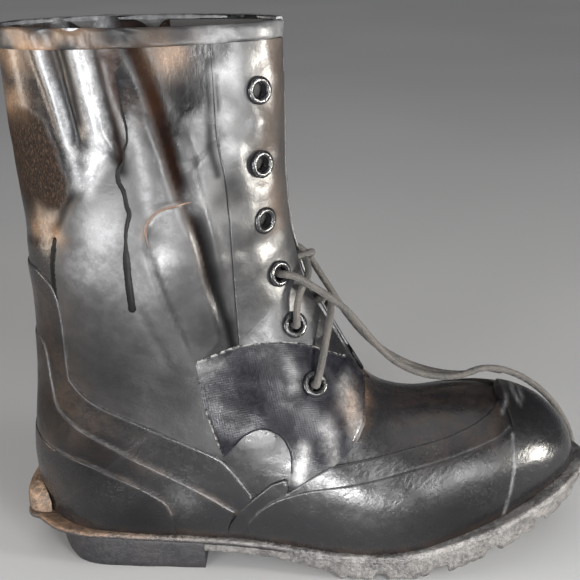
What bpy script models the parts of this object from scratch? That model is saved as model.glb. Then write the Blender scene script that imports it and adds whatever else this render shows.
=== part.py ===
"""Insulated rubber field boot with laced flaps, a right boot, standing empty on its heel and forefoot.

Everything is worked out in boot millimetres and turned into metres when a mesh is made:
X runs from the back of the heel ledge to the toe, Y to the wearer's left, which is the
inner side of a right boot, and Z up from the tread. The row's origin is the middle of the
heel's tread, HEEL_CENTRE_X in front of the ledge.
"""

import math

import bmesh
import bpy
import numpy as np

# ---------------------------------------------------------------- driving dimensions, mm
LENGTH = 328.0  # ledge to welt at the toe
HEIGHT = 302.0  # tread to collar
HEEL_BACK_X, HEEL_BREAST_X = 17.0, 106.0
HEEL_CENTRE_X = 62.0
GAP = 0.3  # what neighbouring pieces keep
WELT_THICK = 3.5
FOOT_WALL = 5.5  # two rubber skins with the sealed wool between them
SHAFT_WALL = 2.8
OUTER, INNER = -1, 1  # the side of the foot: the sign of Y

# The last, one row a section. Each section is a plane through its top point (dorsal) and its
# bottom or back point (ventral); half is its widest half, and widest_at where that lies
# on the way from ventral to dorsal. The powers make each end round (2) or square (more).
# Up to heel_back the bottom follows the feather line; heel_curve's ventral_z only aims the heel's curve.
SECTION_COLUMNS = "dorsal_x dorsal_z ventral_x ventral_z half widest_at dorsal_power ventral_power"
SECTIONS = {
    "tip": (317.3, 51.5, 316.7, 45.3, 6.0, 0.40, 2.0, 2.1),
    "toe_1": (316.3, 56.5, 315.0, 44.6, 11.4, 0.38, 2.0, 2.2),
    "toe_2": (313.6, 63.5, 310.0, 43.0, 19.2, 0.36, 2.1, 2.3),
    "toe_3": (307.6, 71.6, 301.8, 40.3, 27.6, 0.35, 2.1, 2.4),
    "toe_4": (298.4, 79.2, 291.4, 36.8, 35.0, 0.34, 2.2, 2.4),
    "toe_5": (285.0, 85.0, 278.0, 32.0, 42.4, 0.34, 2.2, 2.4),
    "cap_edge": (268.0, 87.4, 262.0, 26.8, 49.0, 0.34, 2.2, 2.4),
    "joint": (248.0, 88.2, 242.0, 21.8, 54.5, 0.34, 2.1, 2.4),
    "ball": (228.0, 88.0, 220.0, 17.6, 57.0, 0.34, 2.0, 2.4),
    "vamp": (211.0, 92.3, 193.0, 16.0, 56.5, 0.35, 1.95, 2.4),
    "throat": (199.0, 100.8, 162.0, 18.0, 54.0, 0.37, 1.9, 2.4),
    "instep_1": (191.5, 112.5, 128.0, 20.5, 51.0, 0.40, 1.9, 2.4),
    "instep_2": (184.0, 126.5, 94.0, 22.3, 49.5, 0.42, 1.9, 2.3),
    "instep_3": (176.6, 140.5, 62.0, 23.5, 48.5, 0.44, 1.9, 2.3),
    "heel_seat": (170.6, 152.0, 34.0, 24.6, 48.0, 0.45, 1.9, 2.2),
    "heel_curve": (166.4, 161.5, 17.0, 12.0, 47.5, 0.45, 1.9, 2.2),
    "heel_back": (164.2, 168.0, 12.0, 26.0, 47.0, 0.45, 1.9, 2.1),
    "counter_1": (162.4, 174.5, 8.6, 42.0, 46.5, 0.45, 1.95, 2.1),
    "counter_2": (160.7, 181.0, 7.2, 60.0, 46.5, 0.45, 2.0, 2.1),
    "counter_3": (159.2, 188.0, 9.0, 80.0, 46.5, 0.45, 2.0, 2.1),
    "ankle_1": (157.8, 196.0, 11.4, 103.0, 47.0, 0.45, 2.0, 2.1),
    "ankle_2": (156.4, 206.0, 13.2, 130.0, 47.5, 0.46, 2.05, 2.1),
    "shaft_1": (155.6, 218.0, 13.2, 160.0, 47.5, 0.48, 2.1, 2.1),
    "shaft_2": (155.4, 231.0, 11.8, 190.0, 46.5, 0.49, 2.1, 2.1),
    "shaft_3": (155.7, 247.0, 10.2, 220.0, 44.5, 0.50, 2.1, 2.1),
    "shaft_4": (156.0, 264.0, 8.3, 250.0, 41.5, 0.50, 2.2, 2.2),
    "shaft_5": (156.2, 283.0, 6.8, 276.0, 38.0, 0.50, 2.2, 2.2),
    "collar": (155.8, HEIGHT, 5.5, HEIGHT, 35.0, 0.50, 2.3, 2.2),
}
NAMES = list(SECTIONS)
LAST = len(NAMES) - 1
HEEL_ROW = NAMES.index("heel_back")  # from here up a section is a closed ring
THROAT_ROW = NAMES.index("throat") - 0.2

# The feather line, where upper and sole meet: distance along, half width, height.
FEATHER = {
    "x": (12, 13.5, 17, 23, 33, 50, 72, 100, 128, 155, 180, 205, 225, 245, 262, 278, 291, 302, 310, 314.8,
          316.8),
    "half": (0, 9.5, 17.8, 25.6, 34, 39.8, 41.5, 41, 41.5, 45, 49.5, 52, 52, 49.5, 45.6, 39.2, 32, 24, 16.4,
             9.6, 0),
}
FEATHER_Z = {
    "x": (0, 12.5, 34, 72, 100, 128, 155, 180, 205, 225, 245, 262, 278, 292, 304, 317, 328),
    "z": (26, 26, 24.6, 23.2, 22, 20.5, 18.6, 16.6, 16, 18, 22.3, 26.8, 31.7, 36.4, 40.3, 44.6, 48),
}
# The welt's edge, with the ledge that a ski cable hooks on at the back.
WELT = {
    "x": (0, 1.5, 4, 8, 11, 15, 21, 31, 46, 72, 92, 112, 136, 165, 190, 215, 238, 258, 275, 290, 303, 313,
          320, 324.5, 327, 328),
    "half": (17, 22, 25, 27, 29.5, 34, 39, 43.2, 45.8, 46.8, 46.2, 46.2, 47.8, 52.3, 56, 58, 58, 56, 52.5, 47,
             39.5, 31, 22.5, 15, 8, 0),
}
# The middle line of the foot: the forefoot swings to the inner side.
SWING = {
    "x": (12, 60, 120, 180, 215, 260, 300, 328),
    "y": (0, 0, -2, -2, -0.5, 3.5, 7, 8.5),
}
SWING_FADES = (80.0, 140.0)  # heights between which the swing dies away up the shaft
# Lowest lugs, and the underside of the plate that they stand on.
TREAD = {"x": (160, 178, 222, 240, 262, 280, 300, 315, 328), "z": (3.2, 0, 0, 3.2, 9.3, 16, 24.5, 32, 38)}
PLATE = {
    "x": (106, 132, 150, 165, 178, 222, 240, 262, 280, 300, 315, 328),
    "z": (13.7, 11.7, 9.8, 7, 4.5, 4.5, 7.7, 13.8, 20.5, 29, 36, 41),
}
# Half the gap between the flaps, by section.
FLAP_GAP = {"row": (THROAT_ROW, 10.2, 10.8, 12, 14, 18, 23, LAST), "half": (0, 3.5, 6, 7.5, 8, 7.5, 7, 7)}
WALL = {"row": (0, 3, 12, 19, 23, LAST), "mm": (3.6, FOOT_WALL, FOOT_WALL, 4.2, SHAFT_WALL, SHAFT_WALL)}
# How thick each layer over the upper is.
LAYERS = {
    "heel_strap": 0.9, "counter": 1.6, "heel_foxing": 2.3, "foxing_band": 1.0, "toe_foxing": 1.8,
    "toe_cap": 2.4, "ankle_patch": 1.0, "eyestay": 0.8, "collar_binding": 1.2,
}
BINDING_HEIGHT = 8.0
# Seams on the side of the foot, as x and z in the side view: both sides are alike.
STRAP_TOP = [(12, 178), (26, 174.5), (34.5, 162), (35.5, 122), (38, 113), (50, 103), (74, 92.5), (107, 78.5),
             (119, 72), (128, 61), (134.5, 51)]
COUNTER_TOP = [(12, 136), (22, 132), (25, 112), (28, 97), (38, 89), (62, 76.5), (90, 62.5), (111, 51),
               (125, 41.5)]
HEEL_FOXING_TOP = [(10, 77), (23, 72), (47, 65.5), (72, 55.5), (86, 46.5), (90, 38)]
BAND_BACK = [(121.5, 32), (127, 41), (136, 50.5), (145.5, 59), (152.8, 62)]
PATCH_FRONT = [(154.2, 54.5), (165.5, 62.5), (178, 70), (189, 78.5), (196, 88)]
BAND_TOP = [(178.5, 69), (195, 71), (215, 73), (235, 76), (249, 79), (263, 82.7), (272.3, 85.6)]
TOE_FOXING_TOP = [(132, 34), (137.5, 41), (145, 48), (155.5, 53), (170, 57), (198, 61), (234, 67.5),
                  (267, 74.5), (277.5, 78)]
CAP_EDGE = [(261.5, 99), (263.5, 89.5), (271, 88), (276.5, 84), (278.5, 75), (278.2, 62), (276.5, 48),
            (273, 32)]
PATCH_TOP = [(106, 127.5), (128, 134), (146, 134.5), (162, 131.5), (175, 125), (186, 118)]
PATCH_BACK = [(119.5, 74), (110.5, 101)]
ARCH = [(156.3, 66), (155.8, 76), (151, 85), (141, 89.5), (132, 86.5), (126, 80.5)]
EYESTAY_SEAM = [(120.5, 293.2), (122.5, 245), (126, 222), (127, 190), (127.8, 165), (129.2, 134.5)]
# Eyelets, from the bottom: section and how far round from the front.
EYELETS = [(12.0, 0.34), (14.0, 0.235), (17.6, 0.16), (21.1, 0.185), (23.2, 0.19), (25.3, 0.2)]
EYELET_OUTER, EYELET_HOLE, BARREL = 7.3, 3.8, 4.6
EYELET_SIDES = 8
LACE = 4.0
CORD_STEP = 11.0  # between points of a free end
# The two free ends, from the fourth eyelets: over the vamp and the cap, and one down to the floor.
END_ROUTES = {
    "lace_end_outer": [
        (155.2, -27.6, 170.8), (161, -26.5, 168.8), (169, -21.5, 162), (177.5, -14, 153.5), (186.5, -5, 143),
        (195.5, 2, 130), (205, 8, 116), (216, 12.5, 103.5), (229, 15.5, 95.3), (242, 17, 91.6),
        (255, 19, 91.2), (266, 21.5, 94), (277, 26, 92.6), (289, 32, 86.8), (300, 38, 78.5), (311, 44, 67.5),
        (321, 49, 54), (329, 53.5, 38), (334, 58, 20.5), (337.5, 63, 8), (339, 70, 3), (338, 80, 2.3),
        (332, 90, 2.2), (322, 97, 2.2), (310, 99, 2.2),
    ],
    "lace_end_inner": [
        (155.2, 27.6, 170.8), (161, 30, 168.5), (166, 32.5, 163), (171, 33.5, 154.5), (178, 33, 143),
        (186, 32.5, 130), (195.5, 32, 117), (207, 31.5, 105.5), (220, 31, 97), (234, 31, 91), (248, 31, 87.7),
        (260, 31.5, 87), (271, 32.5, 90), (283, 35.5, 86.8),
    ],
}
TONGUE = 2.2
TONGUE_GAP = 1.3
INSOLE = 3.0
# The underside. Lugs from x to x, split where columns of the tread have a groove.
LUGS = [(181, 201), (209, 233), (242, 264), (270, 293), (299, 317)]
HEEL_LANDS = [(17, 43), (47, 78), (82, 106)]
TREAD_COLUMNS = (-1, -0.52, -0.44, 0.44, 0.52, 1)
HEEL_PLAN = {"x": (16.9, 19, 24, 34, 50, 72, 106), "half": (0, 15, 27, 37, 41.5, 43, 43)}
HEEL_ROUND = {"x": (17, 20, 25, 31, 38), "z": (17, 10, 4.5, 1.4, 0)}  # the back of the tread curves up
LEDGE_HALF, LEDGE_TOP, LEDGE_FALL = 24.0, 41.0, 3.5


# ---------------------------------------------------------------- curves and the last's surface
def smooth(xs, ys, x):
    """Cubic through the points of a table that doesn't overshoot them, held level past its ends."""
    xs, ys = np.asarray(xs, float), np.asarray(ys, float)
    step = np.diff(xs)
    slope = np.diff(ys) / step
    tangent = np.empty_like(ys)
    tangent[0], tangent[-1] = slope[0], slope[-1]
    same = slope[:-1] * slope[1:] > 0
    harmonic = 2 * slope[:-1] * slope[1:] / np.where(same, slope[:-1] + slope[1:], 1)
    tangent[1:-1] = np.where(same, harmonic, 0)
    x = np.clip(np.asarray(x, float), xs[0], xs[-1])
    i = np.clip(np.searchsorted(xs, x, side="right") - 1, 0, len(step) - 1)
    t = (x - xs[i]) / step[i]
    return (
        ys[i] * (1 + 2 * t) * (1 - t) ** 2
        + tangent[i] * step[i] * t * (1 - t) ** 2
        + ys[i + 1] * t * t * (3 - 2 * t)
        + tangent[i + 1] * step[i] * t * t * (t - 1)
    )


def through(values, row):
    """Catmull-Rom through one value a section."""
    values = np.asarray(values, float)
    i = np.clip(np.floor(row).astype(int), 0, len(values) - 2)
    t = row - i
    before, a, b, after = (values[np.clip(i + n, 0, len(values) - 1)] for n in (-1, 0, 1, 2))
    before = np.where(i == 0, 2 * a - b, before)
    after = np.where(i == len(values) - 2, 2 * b - a, after)
    square = 2 * before - 5 * a + 4 * b - after
    cube = 3 * a - before - 3 * b + after
    return 0.5 * (2 * a + (b - before) * t + square * t**2 + cube * t**3)


COLUMNS = dict(zip(SECTION_COLUMNS.split(), np.array(list(SECTIONS.values())).T))


def section(name, row):
    return through(COLUMNS[name], row)


def end_rounded(xs, halves, x):
    """Half width of an outline whose ends close like circles: the table is read in squares."""
    return np.sqrt(np.maximum(smooth(xs, np.square(halves), x), 0))


def feather_half(x):
    return end_rounded(FEATHER["x"], FEATHER["half"], x)


def feather_z(x):
    return smooth(FEATHER_Z["x"], FEATHER_Z["z"], x)


def swing(x, z=0.0):
    low, high = SWING_FADES
    t = np.clip((np.asarray(z, float) - low) / (high - low), 0, 1)
    return smooth(SWING["x"], SWING["y"], x) * (1 - t * t * (3 - 2 * t))


def surface(row, around):
    """Point on the outside of the upper. row counts sections from the toe's tip to the collar;
    around is -1 at the feather line or the back seam of the outer side, 0 on top or in front,
    and 1 on the inner side."""
    row, around = np.broadcast_arrays(np.asarray(row, float), np.asarray(around, float))
    wrapped = np.where(row >= HEEL_ROW, (around + 1) % 2 - 1, around)
    around = np.where(np.abs(around) > 1, wrapped, around)
    half = np.maximum(section("half", row), 1e-6)
    ventral_x = section("ventral_x", row)
    ventral_z = np.where(row <= HEEL_ROW, feather_z(ventral_x), section("ventral_z", row))
    at_feather = np.where(row < HEEL_ROW, np.minimum(feather_half(ventral_x), half * 0.97), 0)
    widest, top, low = (section(n, row) for n in ("widest_at", "dorsal_power", "ventral_power"))
    reach = widest / (1 - (at_feather / half) ** low) ** (1 / low)  # the lower quarter's full height
    start = np.arcsin(np.clip((widest / reach) ** (low / 2), 0, 1))
    angle = -start + (1 - np.abs(around)) * (start + math.pi / 2)
    up = np.sin(np.abs(angle))
    over = np.maximum(np.cos(angle), 0)
    upper_part = angle >= 0
    power = np.where(upper_part, 2 / top, 2 / low)
    along = np.where(upper_part, widest + (1 - widest) * up**power, widest - reach * up**power)
    x = ventral_x + (section("dorsal_x", row) - ventral_x) * along
    z = ventral_z + (section("dorsal_z", row) - ventral_z) * along
    y = np.sign(around) * half * over**power + swing(x, z)
    return np.stack([x, y, z], -1)


def normal(row, around):
    """Outward normal of the upper's surface."""
    row, around = np.broadcast_arrays(np.asarray(row, float), np.asarray(around, float))
    d_row, d_around = 0.02, 0.004
    low = np.where(row < HEEL_ROW, np.clip(around - d_around, -1, 1), around - d_around)
    high = np.where(row < HEEL_ROW, np.clip(around + d_around, -1, 1), around + d_around)
    across = surface(row, high) - surface(row, low)
    least = np.where(row >= HEEL_ROW, HEEL_ROW, 0)
    up = surface(np.minimum(row + d_row, LAST), around) - surface(np.maximum(row - d_row, least), around)
    n = np.cross(across, up)
    return n / np.linalg.norm(n, axis=-1, keepdims=True)


def lifted(row, around, mm):
    return surface(row, around) + normal(row, around) * np.asarray(mm, float)[..., None]


# ---------------------------------------------------------------- meshes
def make_object(name, points, faces, finish):
    """An object from boot millimetres, with its faces turned outwards."""
    mesh = bpy.data.meshes.new(name)
    metres = (np.asarray(points, float) - (HEEL_CENTRE_X, 0, 0)) / 1000
    mesh.from_pydata([tuple(p) for p in metres], [], [tuple(int(i) for i in f) for f in faces])
    mesh.materials.append(finish)
    made = bmesh.new()
    made.from_mesh(mesh)
    bmesh.ops.recalc_face_normals(made, faces=made.faces)
    if made.calc_volume(signed=True) < 0:
        bmesh.ops.reverse_faces(made, faces=made.faces)
    made.to_mesh(mesh)
    made.free()
    mesh.shade_smooth()
    mesh.set_sharp_from_angle(angle=math.radians(40))
    obj = bpy.data.objects.new(name, mesh)
    bpy.context.scene.collection.objects.link(obj)
    return obj


def material(name, colour, roughness, metallic=0.0):
    made = bpy.data.materials.new(name)
    made.use_nodes = True
    shader = made.node_tree.nodes["Principled BSDF"]
    shader.inputs["Base Color"].default_value = (*colour, 1)
    shader.inputs["Roughness"].default_value = roughness
    shader.inputs["Metallic"].default_value = metallic
    return made


def welded(outer, inner, faces, within=1e-3):
    """The same sheet with coinciding points made one and the faces that collapse cleaned."""
    _, first, index = np.unique(np.round(outer / within), axis=0, return_index=True, return_inverse=True)
    index = index.reshape(-1)
    cleaned = []
    for face in faces:
        ring = [index[i] for i in face]
        ring = [a for a, b in zip(ring, ring[1:] + ring[:1]) if a != b]
        if len(set(ring)) >= 3:
            cleaned.append(ring)
    return outer[first], inner[first], cleaned


def grid_faces(rows, columns, offset=0, wrap=False):
    width = columns if wrap else columns - 1
    return [
        (
            offset + r * columns + c,
            offset + r * columns + (c + 1) % columns,
            offset + (r + 1) * columns + (c + 1) % columns,
            offset + (r + 1) * columns + c,
        )
        for r in range(rows - 1)
        for c in range(width)
    ]


def split(faces, points, out):
    """Quads cut in two along the diagonal that stands further out. Sheets over one another are cut alike,
    from the same points, so they stay parallel."""
    faces = np.array(faces)
    a, b, c, d = (points[faces[:, i]] for i in range(4))
    outward = out[faces].sum(axis=1)
    first = ((a + c - b - d) * outward).sum(axis=1) >= 0
    triangles = []
    for (p, q, r, s), pick in zip(faces.tolist(), first):
        triangles += [[p, q, r], [p, r, s]] if pick else [[p, q, s], [q, r, s]]
    return triangles


def sheet_solid(name, outer, inner, faces, finish):
    """A closed solid between an outer and an inner sheet that share their faces."""
    outer, inner, faces = welded(outer, inner, faces)
    count = len(outer)
    edges = {}
    for face in faces:
        for a, b in zip(face, face[1:] + face[:1]):
            edges[frozenset((a, b))] = None if frozenset((a, b)) in edges else (a, b)
    rim = [(b, a, a + count, b + count) for a, b in filter(None, edges.values())]
    backs = [[i + count for i in reversed(face)] for face in faces]
    return make_object(name, np.concatenate([outer, inner]), faces + backs + rim, finish)


def grid_solid(name, outer, inner, finish, wrap=False):
    """As sheet_solid, from two grids of points."""
    faces = grid_faces(*outer.shape[:2], 0, wrap)
    return sheet_solid(name, outer.reshape(-1, 3), inner.reshape(-1, 3), faces, finish)


def apply_boolean(obj, other, operation):
    """Cuts or joins other, which is then removed."""
    modifier = obj.modifiers.new("made", "BOOLEAN")
    modifier.operation = operation
    modifier.solver = "EXACT"
    modifier.object = other
    bpy.context.view_layer.update()
    graph = bpy.context.evaluated_depsgraph_get()
    result = bpy.data.meshes.new_from_object(obj.evaluated_get(graph))
    obj.modifiers.clear()
    obj.data = result
    bpy.data.objects.remove(other)


# ---------------------------------------------------------------- upper
def flap_edge(row):
    """around at the flap's front edge, or 0 where the two sides are one."""
    gap = smooth(FLAP_GAP["row"], FLAP_GAP["half"], row)
    half, top = section("half", row), section("dorsal_power", row)
    low, widest = section("ventral_power", row), section("widest_at", row)
    at_feather = np.where(row < HEEL_ROW, np.minimum(feather_half(section("ventral_x", row)), half * 0.97), 0)
    start = np.arcsin((1 - (at_feather / half) ** low) ** 0.5)
    angle = np.arccos(np.clip((gap / half) ** (top / 2), 0, 1))
    return np.where(row <= THROAT_ROW, 0, 1 - (angle + start) / (start + math.pi / 2))


def step(x, start, end):
    """0 before start and 1 after end, with a soft way between."""
    t = np.clip((np.asarray(x, float) - start) / (end - start), 0, 1)
    return t * t * (3 - 2 * t)


def wall(row, around):
    """The upper's thickness: the flaps have no wool in them."""
    flap = step(row, THROAT_ROW, THROAT_ROW + 2.2) * step(-np.abs(around), -0.62, -0.42)
    full = smooth(WALL["row"], WALL["mm"], row)
    return full + (SHAFT_WALL - full) * flap


def rim_point(row, side, inset):
    """Where a piece set inside the feather line by inset has its edge."""
    row = np.asarray(row, float)
    out = normal(row, side) * (1, 1, 0)
    out /= np.linalg.norm(out, axis=-1, keepdims=True)
    point = surface(row, side) - out * inset
    point[..., 2] = feather_z(point[..., 0])
    return point


def upper_sheets(name, outer_lift, inner_lift, finish, rows, columns, level_rim=False):
    """A closed body over both sides of the boot, between two forms raised from its surface."""
    skins, linings, forms, normals, faces = [], [], [], [], []
    for side in (OUTER, INNER):
        row = np.repeat(rows[:, None], columns, 1)
        share = np.linspace(1, 0, columns)[None, :]
        edge = flap_edge(np.maximum(row, 0.5))
        around = side * (edge + (1 - edge) * share)
        form, out = surface(row, around), normal(row, around)
        skin = form + out * outer_lift(row, around)[..., None]
        lining = form + out * inner_lift(row, around)[..., None]
        if level_rim:
            on_feather = rows <= HEEL_ROW
            lining[on_feather, 0] = rim_point(rows[on_feather], side, wall(rows[on_feather], side)[:, None])
        faces += grid_faces(len(rows), columns, len(forms) * len(rows) * columns)
        for kept, grid in zip((skins, linings, forms, normals), (skin, lining, form, out)):
            kept.append(grid.reshape(-1, 3))
    if rows[0] == 0:  # the sides are joined across the tip of the toe
        far = len(rows) * columns
        faces += [(c, c + 1, far + c + 1, far + c) for c in range(columns - 1)]
    skin, lining, form, out = (np.concatenate(grids) for grids in (skins, linings, forms, normals))
    return sheet_solid(name, skin, lining, split(faces, form, out), finish)


def make_upper(finish, rows, columns):
    return upper_sheets(
        "upper",
        lambda row, around: 0 * row,
        lambda row, around: -wall(row, around),
        finish,
        rows,
        columns,
        level_rim=True,
    )


def make_tongue(finish, rows):
    """The gusset: a sheet inside the flaps, wider towards the top."""
    rows = rows[(rows > THROAT_ROW - 1.5) & (rows < LAST - 0.1) & (rows % 1 == 0)]
    reach = smooth((THROAT_ROW - 1.5, 13, 20, LAST), (0.16, 0.34, 0.42, 0.46), rows)
    row = np.repeat(np.append(rows, LAST - 0.1)[:, None], 7, 1)
    around = np.append(reach, reach[-1])[:, None] * np.linspace(-1, 1, 7)[None, :]
    front = -wall(row, around) - TONGUE_GAP
    return grid_solid("tongue", lifted(row, around, front), lifted(row, around, front - TONGUE), finish)


def make_insole(finish, rows):
    rows = rows[rows <= HEEL_ROW]
    across = np.linspace(0, 1, 3)[None, :, None]
    sheets = []
    for inset, lift in ((1.3, INSOLE), (0.8, 0.1)):
        depth = wall(rows, 1)[:, None] + inset
        near, far = (rim_point(rows, side, depth)[:, None, :] for side in (OUTER, INNER))
        sheets.append(near + (far - near) * across + (0, 0, lift))
    return grid_solid("insole", *sheets, finish)


def make_binding(finish, columns):
    """The strip round the collar, over the outside of its edge."""
    bottom = LAST - BINDING_HEIGHT / (HEIGHT - SECTIONS["shaft_5"][1])
    rows = np.array([bottom, LAST])
    return upper_sheets(
        "collar_binding",
        lambda row, around: GAP + LAYERS["collar_binding"] + 0 * row,
        lambda row, around: GAP + 0 * row,
        finish,
        rows,
        columns,
    )


# ---------------------------------------------------------------- layers over the upper
def moved(line, dx=0.0, dz=0.0):
    return [(x + dx, z + dz) for x, z in line]


def along_feather(start, end):
    """The bottom edge of a layer, just clear of the welt."""
    count = int(abs(end - start) / 13) + 2
    return [(x, float(feather_z(x)) + 0.1) for x in np.linspace(start, end, count)]


def prism(outline, near, far):
    """A closed body with this side outline, from near to far across the boot."""
    n = len(outline)
    points = [(x, near, z) for x, z in outline] + [(x, far, z) for x, z in outline]
    faces = [tuple(range(n)), tuple(range(2 * n - 1, n - 1, -1))]
    faces += [(i, i + n, (i + 1) % n + n, (i + 1) % n) for i in range(n)]
    return make_object("cutter", points, faces, None)


def layer(name, kind, outline, finish, rows, columns, near=-90, far=90):
    """The part of a layer over the upper that lies inside a side outline."""
    body = upper_sheets(
        name,
        lambda row, around: GAP + LAYERS[kind] + 0 * row,
        lambda row, around: GAP + 0 * row,
        finish,
        rows,
        columns,
    )
    apply_boolean(body, prism(outline, near, far), "INTERSECT")
    return body


def make_layers(rubber, cloth, rows, columns):
    low = rows[rows < 24]
    behind = [(-20, COUNTER_TOP[0][1])]
    heel_edge = moved(BAND_BACK[:2], -0.35)
    layer("heel_foxing", "heel_foxing", [(-20, 77)] + HEEL_FOXING_TOP + along_feather(91, 0) + [(-20, 26)],
          rubber, low, columns)
    layer("counter", "counter", behind + COUNTER_TOP + heel_edge[::-1] + along_feather(118, 91.5)
          + moved(HEEL_FOXING_TOP[::-1], 0.3, 0.3) + [(-20, 77.3)], rubber, low, columns)
    layer("heel_strap", "heel_strap", [(-20, 178)] + STRAP_TOP + [(126.8, 42)]
          + moved(COUNTER_TOP[::-1], 0.1, 0.35) + [(-20, 136.35)], rubber, low, columns)
    layer("toe_cap", "toe_cap", CAP_EDGE + along_feather(273.5, 330) + [(345, 56), (345, 99)],
          rubber, low, columns)
    cap = moved(CAP_EDGE, -0.35)
    foxing = TOE_FOXING_TOP + cap[4:] + along_feather(273, 130)
    band = (BAND_BACK + [(153.6, 61), (153.9, 54.2)] + moved(PATCH_FRONT[:3], 0.2, -0.4) + BAND_TOP + [cap[3]]
            + moved(TOE_FOXING_TOP[::-1], -0.3, 0.35) + along_feather(129.6, 118.4))
    patch = PATCH_TOP + [(197, 105)] + PATCH_FRONT[::-1] + ARCH + PATCH_BACK
    stay = EYESTAY_SEAM + moved(PATCH_TOP[2:], 0, 0.4) + [(190, 118.4), (190, 293.2)]
    for side, near, far in (("outer", -90, -2.5), ("inner", 2.5, 90)):
        layer("toe_foxing_" + side, "toe_foxing", foxing, rubber, low, columns, near, far)
        layer("foxing_band_" + side, "foxing_band", band, rubber, low, columns, near, far)
        layer("ankle_patch_" + side, "ankle_patch", patch, cloth, low, columns, near, far)
        layer("eyestay_" + side, "eyestay", stay, rubber, rows, columns, near, far)


# ---------------------------------------------------------------- sole
def welt_half(x):
    return end_rounded(WELT["x"], WELT["half"], x)


def eased(start, end, count):
    """Stations packed towards both ends, where an outline turns."""
    return start + (end - start) * (1 - np.cos(np.linspace(0, math.pi, count))) / 2


def slab(name, xs, shares, half, top, bottom, finish):
    """A slab across the foot, half(x) each side of the swing; its underside is bottom(x, share)."""
    xs, shares = np.asarray(xs, float)[:, None], np.asarray(shares, float)[None, :]
    y = swing(xs) + half(xs) * shares
    grid = xs + 0 * shares
    upper = np.stack([grid, y, top(grid)], -1)
    lower = np.stack([grid, y, bottom(grid, shares + 0 * xs)], -1)
    return grid_solid(name, upper, lower, finish)


def in_spans(x, spans):
    return np.any([(x >= start) & (x <= end) for start, end in spans], axis=0)


def span_stations(xs, spans, slope=0.7):
    """Stations with a pair at each end of each span, for its steep sides."""
    ends = np.array(spans, float).ravel()
    outside = ends + np.tile([-slope, slope], len(spans))
    xs = [x for x in xs if np.abs(ends - x).min() > 2 and np.abs(outside - x).min() > 2]
    return np.unique(np.concatenate([xs, ends, outside]))


def forefoot_underside(x, share):
    bar = in_spans(x, LUGS)
    plate, tread = smooth(PLATE["x"], PLATE["z"], x), smooth(TREAD["x"], TREAD["z"], x)
    return np.where(bar, tread, plate)


def heel_underside(x, share):
    rounded = smooth(HEEL_ROUND["x"], HEEL_ROUND["z"], x)
    return np.where(in_spans(x, HEEL_LANDS), rounded, np.maximum(rounded, 2.0))


def make_sole(rubber, tread_rubber):
    slab("welt", eased(0, LENGTH, 38), (-1, 0, 1), welt_half, lambda x: feather_z(x) - GAP,
         lambda x, share: feather_z(x) - GAP - WELT_THICK, rubber)
    under = GAP + WELT_THICK + GAP
    shank = np.linspace(HEEL_BREAST_X + GAP, 170, 6)
    forefoot = eased(178, LENGTH - 1.0, 16)
    slab("outsole", span_stations(np.concatenate([shank, forefoot]), LUGS), TREAD_COLUMNS,
         lambda x: np.maximum(welt_half(x) - 1.0, 0.3), lambda x: feather_z(x) - under, forefoot_underside,
         tread_rubber)
    turn = np.linspace(0, math.pi / 2, 14)
    xs = span_stations(HEEL_BACK_X + (HEEL_BREAST_X - HEEL_BACK_X) * (1 - np.cos(turn)), HEEL_LANDS[1:2])
    slab("heel", np.clip(xs, HEEL_BACK_X, HEEL_BREAST_X), (-1, 0, 1),
         lambda x: end_rounded(HEEL_PLAN["x"], HEEL_PLAN["half"], x), lambda x: feather_z(x) - under,
         heel_underside, tread_rubber)


def make_ledge(finish):
    """The ledge for a ski cable: a block on the welt against the back of the heel."""
    around = np.linspace(0.6, 1, 40)
    row = np.full(40, 0.0)
    low, high = np.full(40, HEEL_ROW - 4.0), np.full(40, HEEL_ROW + 3.0)
    for _ in range(30):  # the section whose point at this place round has the ledge's height
        row = (low + high) / 2
        above = surface(row, around)[:, 2] > LEDGE_TOP
        high, low = np.where(above, row, high), np.where(above, low, row)
    back = lifted(row, around, LAYERS["heel_foxing"] + 2 * GAP + 0.3)
    y = np.linspace(-LEDGE_HALF, LEDGE_HALF, 9)
    order = np.argsort(back[:, 1])
    inner_x = np.interp(np.abs(y), back[order, 1], back[order, 0])
    outer_x = np.interp(np.abs(y), WELT["half"][:6], WELT["x"][:6])
    bottom = feather_z(inner_x)
    inner = [np.stack([inner_x, y, z], -1) for z in (bottom, 0 * y + LEDGE_TOP)]
    outer = [np.stack([outer_x, y, z], -1) for z in (bottom, 0 * y + LEDGE_TOP - LEDGE_FALL)]
    return grid_solid("heel_ledge", np.stack(outer), np.stack(inner), finish)


# ---------------------------------------------------------------- eyelets and laces
def eyelet_frame(row, around, cover):
    """Seat of an eyelet: its centre clear of the layer under it, and the way it faces."""
    axis = normal(row, around)
    centre = surface(row, around)
    rows, rounds = np.meshgrid(row + np.linspace(-2, 2, 25), around + np.linspace(-0.2, 0.2, 25))
    near = surface(rows, rounds) - centre
    height = near @ axis
    flat = np.linalg.norm(near - height[..., None] * axis, axis=-1)
    raised = height[(flat < EYELET_OUTER + 0.4) & (height > -6)].max()
    return centre + axis * (raised + GAP + cover + GAP), axis


def around_axis(centre, axis, radius, height, segments):
    side = np.cross(axis, (0, 0, 1.0))
    side /= np.linalg.norm(side)
    other = np.cross(axis, side)
    turn = np.linspace(0, 2 * math.pi, segments, endpoint=False)[:, None]
    return centre + axis * height + radius * (np.cos(turn) * side + np.sin(turn) * other)


def lathe(centre, axis, profile, segments):
    """Points and faces of a closed ring turned round the axis."""
    points = np.concatenate([around_axis(centre, axis, r, h, segments) for r, h in profile])
    faces = grid_faces(len(profile), segments, 0, True)
    last = (len(profile) - 1) * segments
    faces += [(last + i, last + (i + 1) % segments, (i + 1) % segments, i) for i in range(segments)]
    return points, faces


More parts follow.
